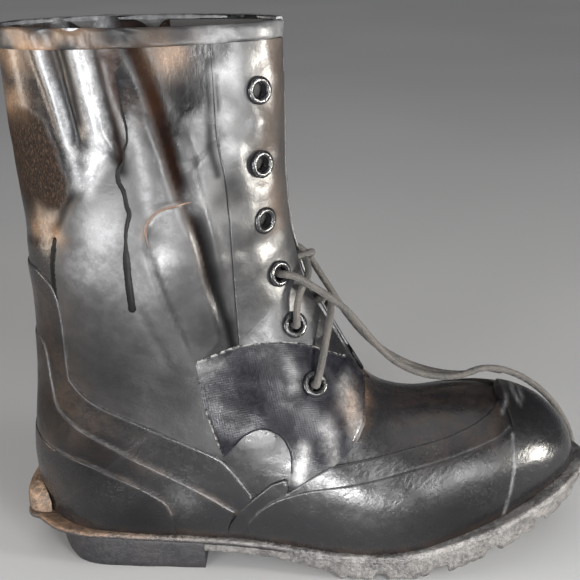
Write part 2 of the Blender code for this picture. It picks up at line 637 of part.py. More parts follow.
def make_eyelets(finish, to_drill):
    """Rings on both flaps, with a hole drilled for each barrel."""
    seats = {}
    for side_name, side in (("outer", OUTER), ("inner", INNER)):
        drills, drill_faces = [], []
        for number, (row, around) in enumerate(EYELETS, 1):
            cover = LAYERS["ankle_patch"] if number == 1 else LAYERS["eyestay"]
            centre, axis = eyelet_frame(row, side * around, cover)
            seats[side, number] = centre, axis
            profile = [(BARREL, -3.6), (BARREL, 0), (EYELET_OUTER, 0), (EYELET_OUTER - 1.4, 1.5),
                       (EYELET_HOLE, 1.0), (EYELET_HOLE, -3.6)]
            points, faces = lathe(centre, axis, profile, EYELET_SIDES)
            make_object(f"eyelet_{side_name}_{number}", points, faces, finish)
            drills += [around_axis(centre, axis, BARREL + 0.5, h, EYELET_SIDES) for h in (-9.0, 4.0)]
            base = 2 * EYELET_SIDES * (number - 1)
            drill_faces += grid_faces(2, EYELET_SIDES, base, True)
            drill_faces += [tuple(range(base + EYELET_SIDES - 1, base - 1, -1)),
                            tuple(range(base + EYELET_SIDES, base + 2 * EYELET_SIDES))]
        for name in ["upper"] + [stem + side_name for stem in to_drill]:
            cutter = make_object("cutter", np.concatenate(drills), drill_faces, None)
            apply_boolean(bpy.data.objects[name], cutter, "DIFFERENCE")
    return seats


def sweep(name, path, radius, finish, sides=6):
    """A round tube along a path, capped at both ends."""
    along = np.gradient(path, axis=0)
    along /= np.linalg.norm(along, axis=1, keepdims=True)
    side = np.cross(along, (0.3, 0.2, 1.0))
    side /= np.linalg.norm(side, axis=1, keepdims=True)
    up = np.cross(along, side)
    turn = np.linspace(0, 2 * math.pi, sides, endpoint=False)[None, :, None]
    rings = path[:, None] + radius * (np.cos(turn) * side[:, None] + np.sin(turn) * up[:, None])
    faces = grid_faces(len(path), sides, 0, True)
    faces += [tuple(range(sides)), tuple(range(len(path) * sides - 1, (len(path) - 1) * sides - 1, -1))]
    return make_object(name, rings.reshape(-1, 3), faces, finish)


def crossing_path(lower, higher, side):
    """The way of a lace from one flap's eyelet over the throat to the other flap's next one."""
    share = np.linspace(0.07, 0.89, 7)
    row = lower[0] + (higher[0] - lower[0]) * share
    around = side * (lower[1] - (higher[1] + lower[1]) * share)
    return lifted(row, around, 6.4 - 1.2 * np.sin(math.pi * share))


def make_crossings(finish):
    """Two crossed laces between the first and second, and the second and third pairs of eyelets in use."""
    for number, (lower, higher) in enumerate(zip(EYELETS[:2], EYELETS[1:3]), 1):
        one = sweep(f"lace_crossing_{number}", crossing_path(lower, higher, OUTER), LACE / 2, finish)
        other = sweep("cutter", crossing_path(lower, higher, INNER), LACE / 2, finish)
        apply_boolean(one, other, "UNION")


def smooth_route(points, spacing):
    """Points this far apart on a smooth curve through a route."""
    points = np.array(points, float)
    rows = np.linspace(0, len(points) - 1, 40 * len(points))
    fine = np.stack([through(points[:, axis], rows) for axis in range(3)], -1)
    length = np.append(0, np.cumsum(np.linalg.norm(np.diff(fine, axis=0), axis=1)))
    places = np.linspace(0, length[-1], round(length[-1] / spacing) + 1)
    return np.stack([np.interp(places, length, fine[:, axis]) for axis in range(3)], -1)


def make_lace_ends(finish):
    for name, route in END_ROUTES.items():
        path = (smooth_route(route, CORD_STEP) - (HEEL_CENTRE_X, 0, 0)) / 1000
        curve = bpy.data.curves.new(name, "CURVE")
        curve.dimensions = "3D"
        curve.bevel_depth = LACE / 2000
        curve.bevel_resolution = 1
        curve.use_fill_caps = True
        curve.materials.append(finish)
        spline = curve.splines.new("POLY")
        spline.points.add(len(path) - 1)
        for point, place in zip(spline.points, path):
            point.co = (*place, 1)
        bpy.context.scene.collection.objects.link(bpy.data.objects.new(name, curve))


def main():
    for obj in list(bpy.data.objects):
        bpy.data.objects.remove(obj)
    rubber = material("black_rubber", (0.02, 0.02, 0.021), 0.35)
    cloth = material("rubberised_cloth", (0.028, 0.028, 0.03), 0.5)
    tread_rubber = material("tread_rubber", (0.03, 0.027, 0.026), 0.6)
    lining = material("wool_lining", (0.12, 0.11, 0.10), 0.9)
    metal = material("japanned_metal", (0.015, 0.015, 0.016), 0.2, 0.6)
    lace = material("braided_lace", (0.06, 0.055, 0.045), 0.85)
    rows = np.concatenate([np.arange(19), np.arange(20, LAST, 2), [LAST], [THROAT_ROW, 10.4, 15.5, 16.5, 21]])
    rows = np.unique(rows)
    columns = 9
    make_upper(rubber, rows, columns)
    make_tongue(rubber, rows)
    make_insole(lining, rows)
    make_binding(rubber, columns)
    make_layers(rubber, cloth, rows, columns)
    make_sole(rubber, tread_rubber)
    make_ledge(tread_rubber)
    make_eyelets(metal, ["eyestay_", "ankle_patch_"])
    make_crossings(lace)
    make_lace_ends(lace)


main()
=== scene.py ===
"""Looks of a laced, insulated rubber boot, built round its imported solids.

Shapes are worked out in boot millimetres, as in the part's source: X runs from the heel's
ledge to the toe, Y to the inner side of a right boot, Z up from the tread. They become metres
when a mesh is made, HEEL_CENTRE_X in front of the ledge being the frame's origin.
"""

import copy
import math

import bpy
import numpy as np
from mathutils import Matrix, Vector


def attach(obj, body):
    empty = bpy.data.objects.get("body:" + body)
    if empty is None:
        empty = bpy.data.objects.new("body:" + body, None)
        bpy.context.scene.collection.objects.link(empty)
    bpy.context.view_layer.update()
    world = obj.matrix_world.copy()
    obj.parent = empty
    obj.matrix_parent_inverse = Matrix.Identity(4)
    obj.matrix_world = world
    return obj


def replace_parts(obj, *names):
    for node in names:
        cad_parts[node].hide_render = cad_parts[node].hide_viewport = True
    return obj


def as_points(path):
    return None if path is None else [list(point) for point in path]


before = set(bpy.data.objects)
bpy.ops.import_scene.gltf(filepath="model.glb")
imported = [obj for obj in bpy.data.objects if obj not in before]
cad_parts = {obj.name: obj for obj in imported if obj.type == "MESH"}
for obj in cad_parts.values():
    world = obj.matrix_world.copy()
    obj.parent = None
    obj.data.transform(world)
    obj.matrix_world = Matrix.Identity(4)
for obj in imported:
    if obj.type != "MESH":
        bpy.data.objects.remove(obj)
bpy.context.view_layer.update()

# ---- the boot's sizes, mm
LENGTH, HEIGHT = 328.0, 302.0
HEEL_BACK_X, HEEL_BREAST_X, HEEL_CENTRE_X = 17.0, 106.0, 62.0
GAP = 0.3
WELT_THICK = 3.5
FOOT_WALL, SHAFT_WALL = 5.5, 2.8
OUTER, INNER = -1, 1

SECTION_COLUMNS = "dorsal_x dorsal_z ventral_x ventral_z half widest_at dorsal_power ventral_power"
SECTIONS = {
    "tip": (317.3, 51.5, 316.7, 45.3, 6.0, 0.40, 2.0, 2.1),
    "toe_1": (316.3, 56.5, 315.0, 44.6, 11.4, 0.38, 2.0, 2.2),
    "toe_2": (313.6, 63.5, 310.0, 43.0, 19.2, 0.36, 2.1, 2.3),
    "toe_3": (307.6, 71.6, 301.8, 40.3, 27.6, 0.35, 2.1, 2.4),
    "toe_4": (298.4, 79.2, 291.4, 36.8, 35.0, 0.34, 2.2, 2.4),
    "toe_5": (285.0, 85.0, 278.0, 32.0, 42.4, 0.34, 2.2, 2.4),
    "cap_edge": (268.0, 87.4, 262.0, 26.8, 49.0, 0.34, 2.2, 2.4),
    "joint": (248.0, 88.2, 242.0, 21.8, 54.5, 0.34, 2.1, 2.4),
    "ball": (228.0, 88.0, 220.0, 17.6, 57.0, 0.34, 2.0, 2.4),
    "vamp": (211.0, 92.3, 193.0, 16.0, 56.5, 0.35, 1.95, 2.4),
    "throat": (199.0, 100.8, 162.0, 18.0, 54.0, 0.37, 1.9, 2.4),
    "instep_1": (191.5, 112.5, 128.0, 20.5, 51.0, 0.40, 1.9, 2.4),
    "instep_2": (184.0, 126.5, 94.0, 22.3, 49.5, 0.42, 1.9, 2.3),
    "instep_3": (176.6, 140.5, 62.0, 23.5, 48.5, 0.44, 1.9, 2.3),
    "heel_seat": (170.6, 152.0, 34.0, 24.6, 48.0, 0.45, 1.9, 2.2),
    "heel_curve": (166.4, 161.5, 17.0, 12.0, 47.5, 0.45, 1.9, 2.2),
    "heel_back": (164.2, 168.0, 12.0, 26.0, 47.0, 0.45, 1.9, 2.1),
    "counter_1": (162.4, 174.5, 8.6, 42.0, 46.5, 0.45, 1.95, 2.1),
    "counter_2": (160.7, 181.0, 7.2, 60.0, 46.5, 0.45, 2.0, 2.1),
    "counter_3": (159.2, 188.0, 9.0, 80.0, 46.5, 0.45, 2.0, 2.1),
    "ankle_1": (157.8, 196.0, 11.4, 103.0, 47.0, 0.45, 2.0, 2.1),
    "ankle_2": (156.4, 206.0, 13.2, 130.0, 47.5, 0.46, 2.05, 2.1),
    "shaft_1": (155.6, 218.0, 13.2, 160.0, 47.5, 0.48, 2.1, 2.1),
    "shaft_2": (155.4, 231.0, 11.8, 190.0, 46.5, 0.49, 2.1, 2.1),
    "shaft_3": (155.7, 247.0, 10.2, 220.0, 44.5, 0.50, 2.1, 2.1),
    "shaft_4": (156.0, 264.0, 8.3, 250.0, 41.5, 0.50, 2.2, 2.2),
    "shaft_5": (156.2, 283.0, 6.8, 276.0, 38.0, 0.50, 2.2, 2.2),
    "collar": (155.8, HEIGHT, 5.5, HEIGHT, 35.0, 0.50, 2.3, 2.2),
}
NAMES = list(SECTIONS)
LAST = len(NAMES) - 1
HEEL_ROW = NAMES.index("heel_back")  # from here up a section is a closed ring
THROAT_ROW = NAMES.index("throat") - 0.2

# The feather line, where upper and sole meet: distance along, half width, height.
FEATHER = {
    "x": (12, 13.5, 17, 23, 33, 50, 72, 100, 128, 155, 180, 205, 225, 245, 262, 278, 291, 302, 310, 314.8,
          316.8),
    "half": (0, 9.5, 17.8, 25.6, 34, 39.8, 41.5, 41, 41.5, 45, 49.5, 52, 52, 49.5, 45.6, 39.2, 32, 24, 16.4,
             9.6, 0),
}
FEATHER_Z = {
    "x": (0, 12.5, 34, 72, 100, 128, 155, 180, 205, 225, 245, 262, 278, 292, 304, 317, 328),
    "z": (26, 26, 24.6, 23.2, 22, 20.5, 18.6, 16.6, 16, 18, 22.3, 26.8, 31.7, 36.4, 40.3, 44.6, 48),
}
# The welt's edge, with the ledge that a ski cable hooks on at the back.
WELT = {
    "x": (0, 1.5, 4, 8, 11, 15, 21, 31, 46, 72, 92, 112, 136, 165, 190, 215, 238, 258, 275, 290, 303, 313,
          320, 324.5, 327, 328),
    "half": (17, 22, 25, 27, 29.5, 34, 39, 43.2, 45.8, 46.8, 46.2, 46.2, 47.8, 52.3, 56, 58, 58, 56, 52.5,
             47, 39.5, 31, 22.5, 15, 8, 0),
}
# The middle line of the foot: the forefoot swings to the inner side.
SWING = {"x": (12, 60, 120, 180, 215, 260, 300, 328), "y": (0, 0, -2, -2, -0.5, 3.5, 7, 8.5)}
SWING_FADES = (80.0, 140.0)  # heights between which the swing dies away up the shaft
# Lowest lugs, and the underside of the plate that they stand on.
TREAD = {"x": (160, 178, 222, 240, 262, 280, 300, 315, 328), "z": (3.2, 0, 0, 3.2, 9.3, 16, 24.5, 32, 38)}
PLATE = {
    "x": (106, 132, 150, 165, 178, 222, 240, 262, 280, 300, 315, 328),
    "z": (13.7, 11.7, 9.8, 7, 4.5, 4.5, 7.7, 13.8, 20.5, 29, 36, 41),
}
# Half the gap between the flaps, by section.
FLAP_GAP = {"row": (THROAT_ROW, 10.2, 10.8, 12, 14, 18, 23, LAST), "half": (0, 3.5, 6, 7.5, 8, 7.5, 7, 7)}
WALL = {"row": (0, 3, 12, 19, 23, LAST), "mm": (3.6, FOOT_WALL, FOOT_WALL, 4.2, SHAFT_WALL, SHAFT_WALL)}
# How thick some of the layers over the upper are.
HEEL_FOXING, TOE_CAP = 2.3, 2.4
PATCH, EYESTAY = 1.0, 0.8  # of the solids that the eyelets sit on
LAYER_ROOT = 0.4  # how far a layer reaches into the rubber under it
# Cut out of the rubber round each eyelet.
SKIN_HOLE, LAYER_HOLE = 5.0, 4.9
FAR = 99.0  # stands for no edge near
# Seams on the side of the foot, as x and z in the side view: both sides are alike.
STRAP_TOP = [(12, 178), (26, 174.5), (34.5, 162), (35.5, 122), (38, 113), (50, 103), (74, 92.5),
             (107, 78.5), (119, 72), (128, 61), (134.5, 51)]
COUNTER_TOP = [(12, 136), (22, 132), (25, 112), (28, 97), (38, 89), (62, 76.5), (90, 62.5), (111, 51),
               (125, 41.5)]
HEEL_FOXING_TOP = [(10, 77), (23, 72), (47, 65.5), (72, 55.5), (86, 46.5), (90, 38)]
PATCH_FRONT = [(154.2, 54.5), (165.5, 62.5), (178, 70), (189, 78.5), (196, 88)]
BAND_TOP = [(178.5, 69), (195, 71), (215, 73), (235, 76), (249, 79), (263, 82.7), (272.3, 85.6)]
TOE_FOXING_TOP = [(132, 34), (137.5, 41), (145, 48), (155.5, 53), (170, 57), (198, 61), (234, 67.5),
                  (267, 74.5), (277.5, 78)]
CAP_EDGE = [(261.5, 99), (263.5, 89.5), (271, 88), (276.5, 84), (278.5, 75), (278.2, 62), (276.5, 48),
            (273, 32)]
PATCH_TOP = [(106, 127.5), (128, 134), (146, 134.5), (162, 131.5), (175, 125), (186, 118)]
PATCH_BACK = [(119.5, 74), (110.5, 101)]
ARCH = [(156.3, 66), (155.8, 76), (151, 85), (141, 89.5), (132, 86.5), (126, 80.5)]
EYESTAY_SEAM = [(120.5, 293.2), (122.5, 245), (126, 222), (127, 190), (127.8, 165), (129.2, 134.5)]
# Eyelets, from the bottom: section and how far round from the front.
EYELETS = [(12.0, 0.34), (14.0, 0.235), (17.6, 0.16), (21.1, 0.185), (23.2, 0.19), (25.3, 0.2)]
EYELET_OUTER, BARREL = 7.3, 4.6
LACE = 4.0
# The two free ends, from the fourth eyelets: over the vamp and the cap, and one down to the floor.
END_ROUTES = {
    "lace_end_outer": [(155.2, -27.6, 170.8), (161, -26.5, 168.8), (169, -21.5, 162), (177.5, -14, 153.5),
                       (186.5, -5, 143), (195.5, 2, 130), (205, 8, 116), (216, 12.5, 103.5),
                       (229, 15.5, 95.3), (242, 17, 91.6), (255, 19, 91.2), (266, 21.5, 94),
                       (277, 26, 92.6), (289, 32, 86.8), (300, 38, 78.5), (311, 44, 67.5), (321, 49, 54),
                       (329, 53.5, 38), (334, 58, 20.5), (337.5, 63, 8), (339, 70, 3), (338, 80, 2.3),
                       (332, 90, 2.2), (322, 97, 2.2), (310, 99, 2.2)],
    "lace_end_inner": [(155.2, 27.6, 170.8), (161, 30, 168.5), (166, 32.5, 163), (171, 33.5, 154.5),
                       (178, 33, 143), (186, 32.5, 130), (195.5, 32, 117), (207, 31.5, 105.5),
                       (220, 31, 97), (234, 31, 91), (248, 31, 87.7), (260, 31.5, 87), (271, 32.5, 90),
                       (283, 35.5, 86.8)],
}

# ---- the last's surface, as in the source
def smooth(xs, ys, x):
    """Cubic through the points of a table that doesn't overshoot them, held level past its ends."""
    xs, ys = np.asarray(xs, float), np.asarray(ys, float)
    step = np.diff(xs)
    slope = np.diff(ys) / step
    tangent = np.empty_like(ys)
    tangent[0], tangent[-1] = slope[0], slope[-1]
    same = slope[:-1] * slope[1:] > 0
    harmonic = 2 * slope[:-1] * slope[1:] / np.where(same, slope[:-1] + slope[1:], 1)
    tangent[1:-1] = np.where(same, harmonic, 0)
    x = np.clip(np.asarray(x, float), xs[0], xs[-1])
    i = np.clip(np.searchsorted(xs, x, side="right") - 1, 0, len(step) - 1)
    t = (x - xs[i]) / step[i]
    return (
        ys[i] * (1 + 2 * t) * (1 - t) ** 2
        + tangent[i] * step[i] * t * (1 - t) ** 2
        + ys[i + 1] * t * t * (3 - 2 * t)
        + tangent[i + 1] * step[i] * t * t * (t - 1)
    )


def through(values, row):
    """Catmull-Rom through one value a section."""
    values = np.asarray(values, float)
    i = np.clip(np.floor(row).astype(int), 0, len(values) - 2)
    t = row - i
    before, a, b, after = (values[np.clip(i + n, 0, len(values) - 1)] for n in (-1, 0, 1, 2))
    before = np.where(i == 0, 2 * a - b, before)
    after = np.where(i == len(values) - 2, 2 * b - a, after)
    square = 2 * before - 5 * a + 4 * b - after
    cube = 3 * a - before - 3 * b + after
    return 0.5 * (2 * a + (b - before) * t + square * t**2 + cube * t**3)


COLUMNS = dict(zip(SECTION_COLUMNS.split(), np.array(list(SECTIONS.values())).T))


def section(name, row):
    return through(COLUMNS[name], row)


def end_rounded(xs, halves, x):
    """Half width of an outline whose ends close like circles: the table is read in squares."""
    return np.sqrt(np.maximum(smooth(xs, np.square(halves), x), 0))


def feather_half(x):
    return end_rounded(FEATHER["x"], FEATHER["half"], x)


def feather_z(x):
    return smooth(FEATHER_Z["x"], FEATHER_Z["z"], x)


def swing(x, z=0.0):
    low, high = SWING_FADES
    t = np.clip((np.asarray(z, float) - low) / (high - low), 0, 1)
    return smooth(SWING["x"], SWING["y"], x) * (1 - t * t * (3 - 2 * t))


FEATHER_SHARE = 0.97  # of a section's half width that the feather line has at most


def lower_start(row, half, widest, low):
    """Where a section starts under its widest place: how far it reaches down, and its first angle."""
    ventral_x = section("ventral_x", row)
    at_feather = np.where(row < HEEL_ROW, np.minimum(feather_half(ventral_x), half * FEATHER_SHARE), 0)
    reach = widest / (1 - (at_feather / half) ** low) ** (1 / low)
    return reach, np.arcsin(np.clip((widest / reach) ** (low / 2), 0, 1))


def surface(row, around):
    """Point on the outside of the upper. row counts sections from the toe's tip to the collar;
    around is -1 at the feather line or the back seam of the outer side, 0 on top or in front,
    and 1 on the inner side."""
    row, around = np.broadcast_arrays(np.asarray(row, float), np.asarray(around, float))
    wrapped = np.where(row >= HEEL_ROW, (around + 1) % 2 - 1, around)
    around = np.where(np.abs(around) > 1, wrapped, around)
    half = np.maximum(section("half", row), 1e-6)
    ventral_x = section("ventral_x", row)
    ventral_z = np.where(row <= HEEL_ROW, feather_z(ventral_x), section("ventral_z", row))
    widest, top, low = (section(n, row) for n in ("widest_at", "dorsal_power", "ventral_power"))
    reach, start = lower_start(row, half, widest, low)
    angle = -start + (1 - np.abs(around)) * (start + math.pi / 2)
    up = np.sin(np.abs(angle))
    over = np.maximum(np.cos(angle), 0)
    upper_part = angle >= 0
    power = np.where(upper_part, 2 / top, 2 / low)
    along = np.where(upper_part, widest + (1 - widest) * up**power, widest - reach * up**power)
    x = ventral_x + (section("dorsal_x", row) - ventral_x) * along
    z = ventral_z + (section("dorsal_z", row) - ventral_z) * along
    y = np.sign(around) * half * over**power + swing(x, z)
    return np.stack([x, y, z], -1)


def normal(row, around):
    """Outward normal of the upper's surface."""
    row, around = np.broadcast_arrays(np.asarray(row, float), np.asarray(around, float))
    d_row, d_around = 0.02, 0.004
    low = np.where(row < HEEL_ROW, np.clip(around - d_around, -1, 1), around - d_around)
    high = np.where(row < HEEL_ROW, np.clip(around + d_around, -1, 1), around + d_around)
    across = surface(row, high) - surface(row, low)
    least = np.where(row >= HEEL_ROW, HEEL_ROW, 0)
    up = surface(np.minimum(row + d_row, LAST), around) - surface(np.maximum(row - d_row, least), around)
    n = np.cross(across, up)
    return n / np.linalg.norm(n, axis=-1, keepdims=True)


def lifted(row, around, mm):
    return surface(row, around) + normal(row, around) * np.asarray(mm, float)[..., None]


def flap_edge(row):
    """around at the flap's front edge, or 0 where the two sides are one."""
    gap = smooth(FLAP_GAP["row"], FLAP_GAP["half"], row)
    half, top = section("half", row), section("dorsal_power", row)
    low = section("ventral_power", row)
    at_feather = np.minimum(feather_half(section("ventral_x", row)), half * FEATHER_SHARE)
    at_feather = np.where(row < HEEL_ROW, at_feather, 0)
    start = np.arcsin((1 - (at_feather / half) ** low) ** 0.5)
    angle = np.arccos(np.clip((gap / half) ** (top / 2), 0, 1))
    return np.where(row <= THROAT_ROW, 0, 1 - (angle + start) / (start + math.pi / 2))


def step(x, start, end):
    """0 before start and 1 after end, with a soft way between."""
    t = np.clip((np.asarray(x, float) - start) / (end - start), 0, 1)
    return t * t * (3 - 2 * t)


def wall(row, around):
    """The upper's thickness: the flaps have no wool in them."""
    flap = step(row, THROAT_ROW, THROAT_ROW + 2.2) * step(-np.abs(around), -0.62, -0.42)
    full = smooth(WALL["row"], WALL["mm"], row)
    return full + (SHAFT_WALL - full) * flap


# ---- sheets over the boot
def unit(v):
    return v / np.maximum(np.linalg.norm(v, axis=-1, keepdims=True), 1e-9)


def travelled(points):
    """How far along a row of points each of them lies."""
    return np.append(0, np.cumsum(np.linalg.norm(np.diff(points, axis=0), axis=1)))


def smooth_line(points, spacing):
    """Points about this far apart on a smooth curve through a few."""
    points = np.array(points, float)
    rows = np.linspace(0, len(points) - 1, 30 * len(points))
    fine = np.stack([through(points[:, axis], rows) for axis in range(points.shape[1])], -1)
    length = travelled(fine)
    places = np.linspace(0, length[-1], int(length[-1] / spacing) + 2)
    return np.stack([np.interp(places, length, fine[:, axis]) for axis in range(fine.shape[1])], -1)


def nearest(points, line):
    """To a line in the side view: distance, which side of it, how far along, and the way across."""
    line = np.asarray(line, float)
    at = points[:, [0, 2]]
    best = np.full(len(at), np.inf)
    side, along = np.zeros(len(at)), np.zeros(len(at))
    across = np.zeros((len(at), 2))
    passed = 0.0
    for a, b in zip(line[:-1], line[1:]):
        way = b - a
        length = math.hypot(*way)
        t = np.clip(((at - a) @ way) / length**2, 0, 1)
        gap = at - (a + t[:, None] * way)
        distance = np.hypot(*gap.T)
        closer = distance < best
        best = np.where(closer, distance, best)
        turn = way[0] * (at[:, 1] - a[1]) - way[1] * (at[:, 0] - a[0])
        side = np.where(closer, np.sign(turn), side)
        along = np.where(closer, passed + t * length, along)
        across[closer] = (-way[1] / length, way[0] / length)
        passed += length
    return best, side, along / passed, across


def on_surface(distance, across, out):
    """A distance in the side view, as it is on the slanting surface."""
    lean = across[:, 0] * out[:, 0] + across[:, 1] * out[:, 2]
    return distance / np.sqrt(np.maximum(1 - lean**2, 0.05))


def inside(points, outline):
    """How far inside a closed side outline each point is; negative outside."""
    outline = np.asarray(outline, float)
    x, z = points[:, 0], points[:, 2]
    within = np.zeros(len(points), bool)
    for a, b in zip(outline, np.roll(outline, -1, axis=0)):
        if a[1] == b[1]:
            continue
        crosses = (a[1] > z) != (b[1] > z)
        within ^= crosses & (x < (b[0] - a[0]) * (z - a[1]) / (b[1] - a[1]) + a[0])
    distance, _, _, across = nearest(points, np.vstack([outline, outline[:1]]))
    return np.where(within, distance, -distance), across


CLEAR = 0.04  # mm that a cut leaves between itself and the nearest point


class Sheet:
    """Triangles over both sides of the boot; each point is known by its section and its place round it."""

    def __init__(self, step, columns, low=0.0, high=LAST, inner_columns=None):
        rows = fine_rows(step)
        rows = rows[(rows >= low) & (rows <= high)]
        edge = flap_edge(np.maximum(rows, 0.5))[:, None]
        self.row, self.around, self.side = np.zeros(0), np.zeros(0), np.zeros(0)
        grids = []
        for side, count in ((OUTER, columns), (INNER, inner_columns or columns)):
            around = edge + (1 - edge) * np.linspace(1, 0, count)[None, :]
            corner = (np.arange(len(rows) - 1)[:, None] * count + np.arange(count - 1)).ravel()
            corner += len(self.row)
            a, b, c, d = corner, corner + 1, corner + count + 1, corner + count
            grids += [np.stack([a, b, d], 1), np.stack([b, c, d], 1)]
            self.row = np.append(self.row, np.repeat(rows, count))
            self.around = np.append(self.around, side * around.ravel())
            self.side = np.append(self.side, np.full(around.size, side))
        self.triangles = np.concatenate(grids)
        self.place()

    def place(self):
        self.form = surface(self.row, self.around)
        self.out = normal(self.row, self.around)

    def cut(self, values, level=0.0, keep_below=False):
        """Cuts the triangles along values == level and drops what lies below, unless that is kept."""
        v = values - level
        v = np.where(np.abs(v) < CLEAR, np.where(v < 0, -CLEAR, CLEAR), v)
        above = v > 0
        count = above[self.triangles].sum(axis=1)
        mixed = self.triangles[(count == 1) | (count == 2)]
        high = above[mixed]
        odd = np.where(high.sum(axis=1) == 1, high.argmax(axis=1), high.argmin(axis=1))
        mixed = mixed[np.arange(len(mixed))[:, None], (odd[:, None] + np.arange(3)) % 3]
        edges = np.sort(np.concatenate([mixed[:, [0, 1]], mixed[:, [0, 2]]]), axis=1)
        edges, index = np.unique(edges, axis=0, return_inverse=True)
        index = index.reshape(-1) + len(self.row)
        i, j = edges.T
        share = v[i] / (v[i] - v[j])
        p, q = index[: len(mixed)], index[len(mixed) :]
        lone, b, c = mixed.T
        tip = np.stack([lone, p, q], 1)
        rest = np.concatenate([np.stack([p, b, c], 1), np.stack([p, c, q], 1)])
        tip_above, rest_above = above[lone], ~np.tile(above[lone], 2)
        kept = [self.triangles[count == 3], tip[tip_above], rest[rest_above]]
        if keep_below:
            kept += [self.triangles[count == 0], tip[~tip_above], rest[~rest_above]]
        for name in ("row", "around"):
            old = getattr(self, name)
            setattr(self, name, np.append(old, old[i] + (old[j] - old[i]) * share))
        self.side = np.append(self.side, self.side[i])
        self.keep(np.concatenate(kept))

    def keep_side(self, side):
        self.keep(self.triangles[self.side[self.triangles[:, 0]] == side])

    def keep(self, triangles):
        """Keeps these triangles and the points that they use."""
        used, triangles = np.unique(triangles, return_inverse=True)
        self.triangles = triangles.reshape(-1, 3)
        self.row, self.around, self.side = self.row[used], self.around[used], self.side[used]
        self.place()

    def raised(self, mm):
        return self.form + self.out * np.asarray(mm, float).reshape(-1, 1)


def fine_rows(step):
    """Places up the boot no more than step apart, from the toe's tip to the collar."""
    rows = np.linspace(0, LAST, 1200)
    gaps = []
    for around in (0.0, -0.25, -0.5, -0.75, -1.0):
        gaps.append(np.linalg.norm(np.diff(surface(rows, around), axis=0), axis=1))
    length = np.append(0, np.cumsum(np.max(gaps, axis=0)))
    places = np.linspace(0, length[-1], int(length[-1] / step))
    return np.unique(np.concatenate([np.interp(places, length, rows), [THROAT_ROW, HEEL_ROW, LAST]]))


def points_at(x, y, z):
    return np.stack(np.broadcast_arrays(x, y, z), -1)


def in_metres(points):
    return (np.asarray(points, float) - (HEEL_CENTRE_X, 0, 0)) / 1000


def link(name, data):
    obj = bpy.data.objects.new(name, data)
    bpy.context.scene.collection.objects.link(obj)
    return obj


def new_mesh(name, points, triangles, finish, marks=None, smooth_angle=50):
    """An object from boot millimetres; marks are numbers at each point for the finish to read."""
    mesh = bpy.data.meshes.new(name)
    mesh.vertices.add(len(points))
    mesh.vertices.foreach_set("co", in_metres(points).astype(np.float32).ravel())
    mesh.loops.add(3 * len(triangles))
    mesh.loops.foreach_set("vertex_index", np.asarray(triangles, np.int32).ravel())
    mesh.polygons.add(len(triangles))
    mesh.polygons.foreach_set("loop_start", np.arange(0, 3 * len(triangles), 3, dtype=np.int32))
    mesh.update(calc_edges=True)
    mesh.validate()
    for key, values in (marks or {}).items():
        layer = mesh.attributes.new(key, "FLOAT", "POINT")
        layer.data.foreach_set("value", np.asarray(values, np.float32))
    mesh.shade_smooth()
    mesh.set_sharp_from_angle(angle=math.radians(smooth_angle))
    obj = link(name, mesh)
    obj.data.materials.append(finish)
    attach(obj, "root")
    return obj


def closed(outer, inner, triangles, marks, within=2e-3):
    """The points, triangles and marks of a body between two sheets, its coinciding points made one."""
    _, first, index = np.unique(np.round(outer / within), axis=0, return_index=True, return_inverse=True)
    triangles = index.reshape(-1)[triangles]
    proper = (triangles[:, 0] != triangles[:, 1]) & (triangles[:, 1] != triangles[:, 2])
    triangles = triangles[proper & (triangles[:, 0] != triangles[:, 2])]
    outer, inner = outer[first], inner[first]
    marks = {key: np.tile(values[first], 2) for key, values in marks.items()}
    a, b, c = (outer[triangles[:, n]] for n in range(3))
    facing = np.einsum("ij,ij->i", np.cross(b - a, c - a), (outer - inner)[triangles].sum(axis=1))
    triangles[facing < 0] = triangles[facing < 0][:, ::-1]
    edges = np.concatenate([triangles[:, [0, 1]], triangles[:, [1, 2]], triangles[:, [2, 0]]])
    _, place, count = np.unique(np.sort(edges, axis=1), axis=0, return_index=True, return_counts=True)
    a, b = edges[place[count == 1]].T
    n = len(outer)
    rim = np.concatenate([np.stack([b, a, a + n], 1), np.stack([b, a + n, b + n], 1)])
    return np.concatenate([outer, inner]), np.concatenate([triangles, triangles[:, ::-1] + n, rim]), marks


def new_body(name, body, finish):
    points, triangles, marks = body
    return new_mesh(name, points, triangles, finish, marks)


def grid_triangles(rows, columns, wrap=False):
    width = columns if wrap else columns - 1
    r, c = np.meshgrid(np.arange(rows - 1), np.arange(width), indexing="ij")
    a = (r * columns + c).ravel()
    b = (r * columns + (c + 1) % columns).ravel()
    d = a + columns
    e = b + columns
    return np.concatenate([np.stack([a, b, e], 1), np.stack([a, e, d], 1)])


def capped(rows, count):
    """Triangles of a row of rings with count points each, closed by a fan at each end."""
    fan = np.array([(0, c, c + 1) for c in range(1, count - 1)])
    last = fan[:, [0, 2, 1]] + (rows - 1) * count
    return np.concatenate([grid_triangles(rows, count, wrap=True), fan, last])


def outward(points, triangles):
    """The triangles of a closed body, turned so that their normals look out of it."""
    a, b, c = (points[triangles[:, n]] for n in range(3))
    volume = np.einsum("ij,ij->i", a, np.cross(b, c)).sum()
    return triangles if volume > 0 else triangles[:, ::-1]


def new_tube(name, rings, finish, marks=None, **settings):
    """An object from rings of points, with closed ends."""
    points = rings.reshape(-1, 3)
    triangles = outward(points, capped(len(rings), rings.shape[1]))
    return new_mesh(name, points, triangles, finish, marks, **settings)


# ---- relief of the rubber
WAVES = 9  # in one swell


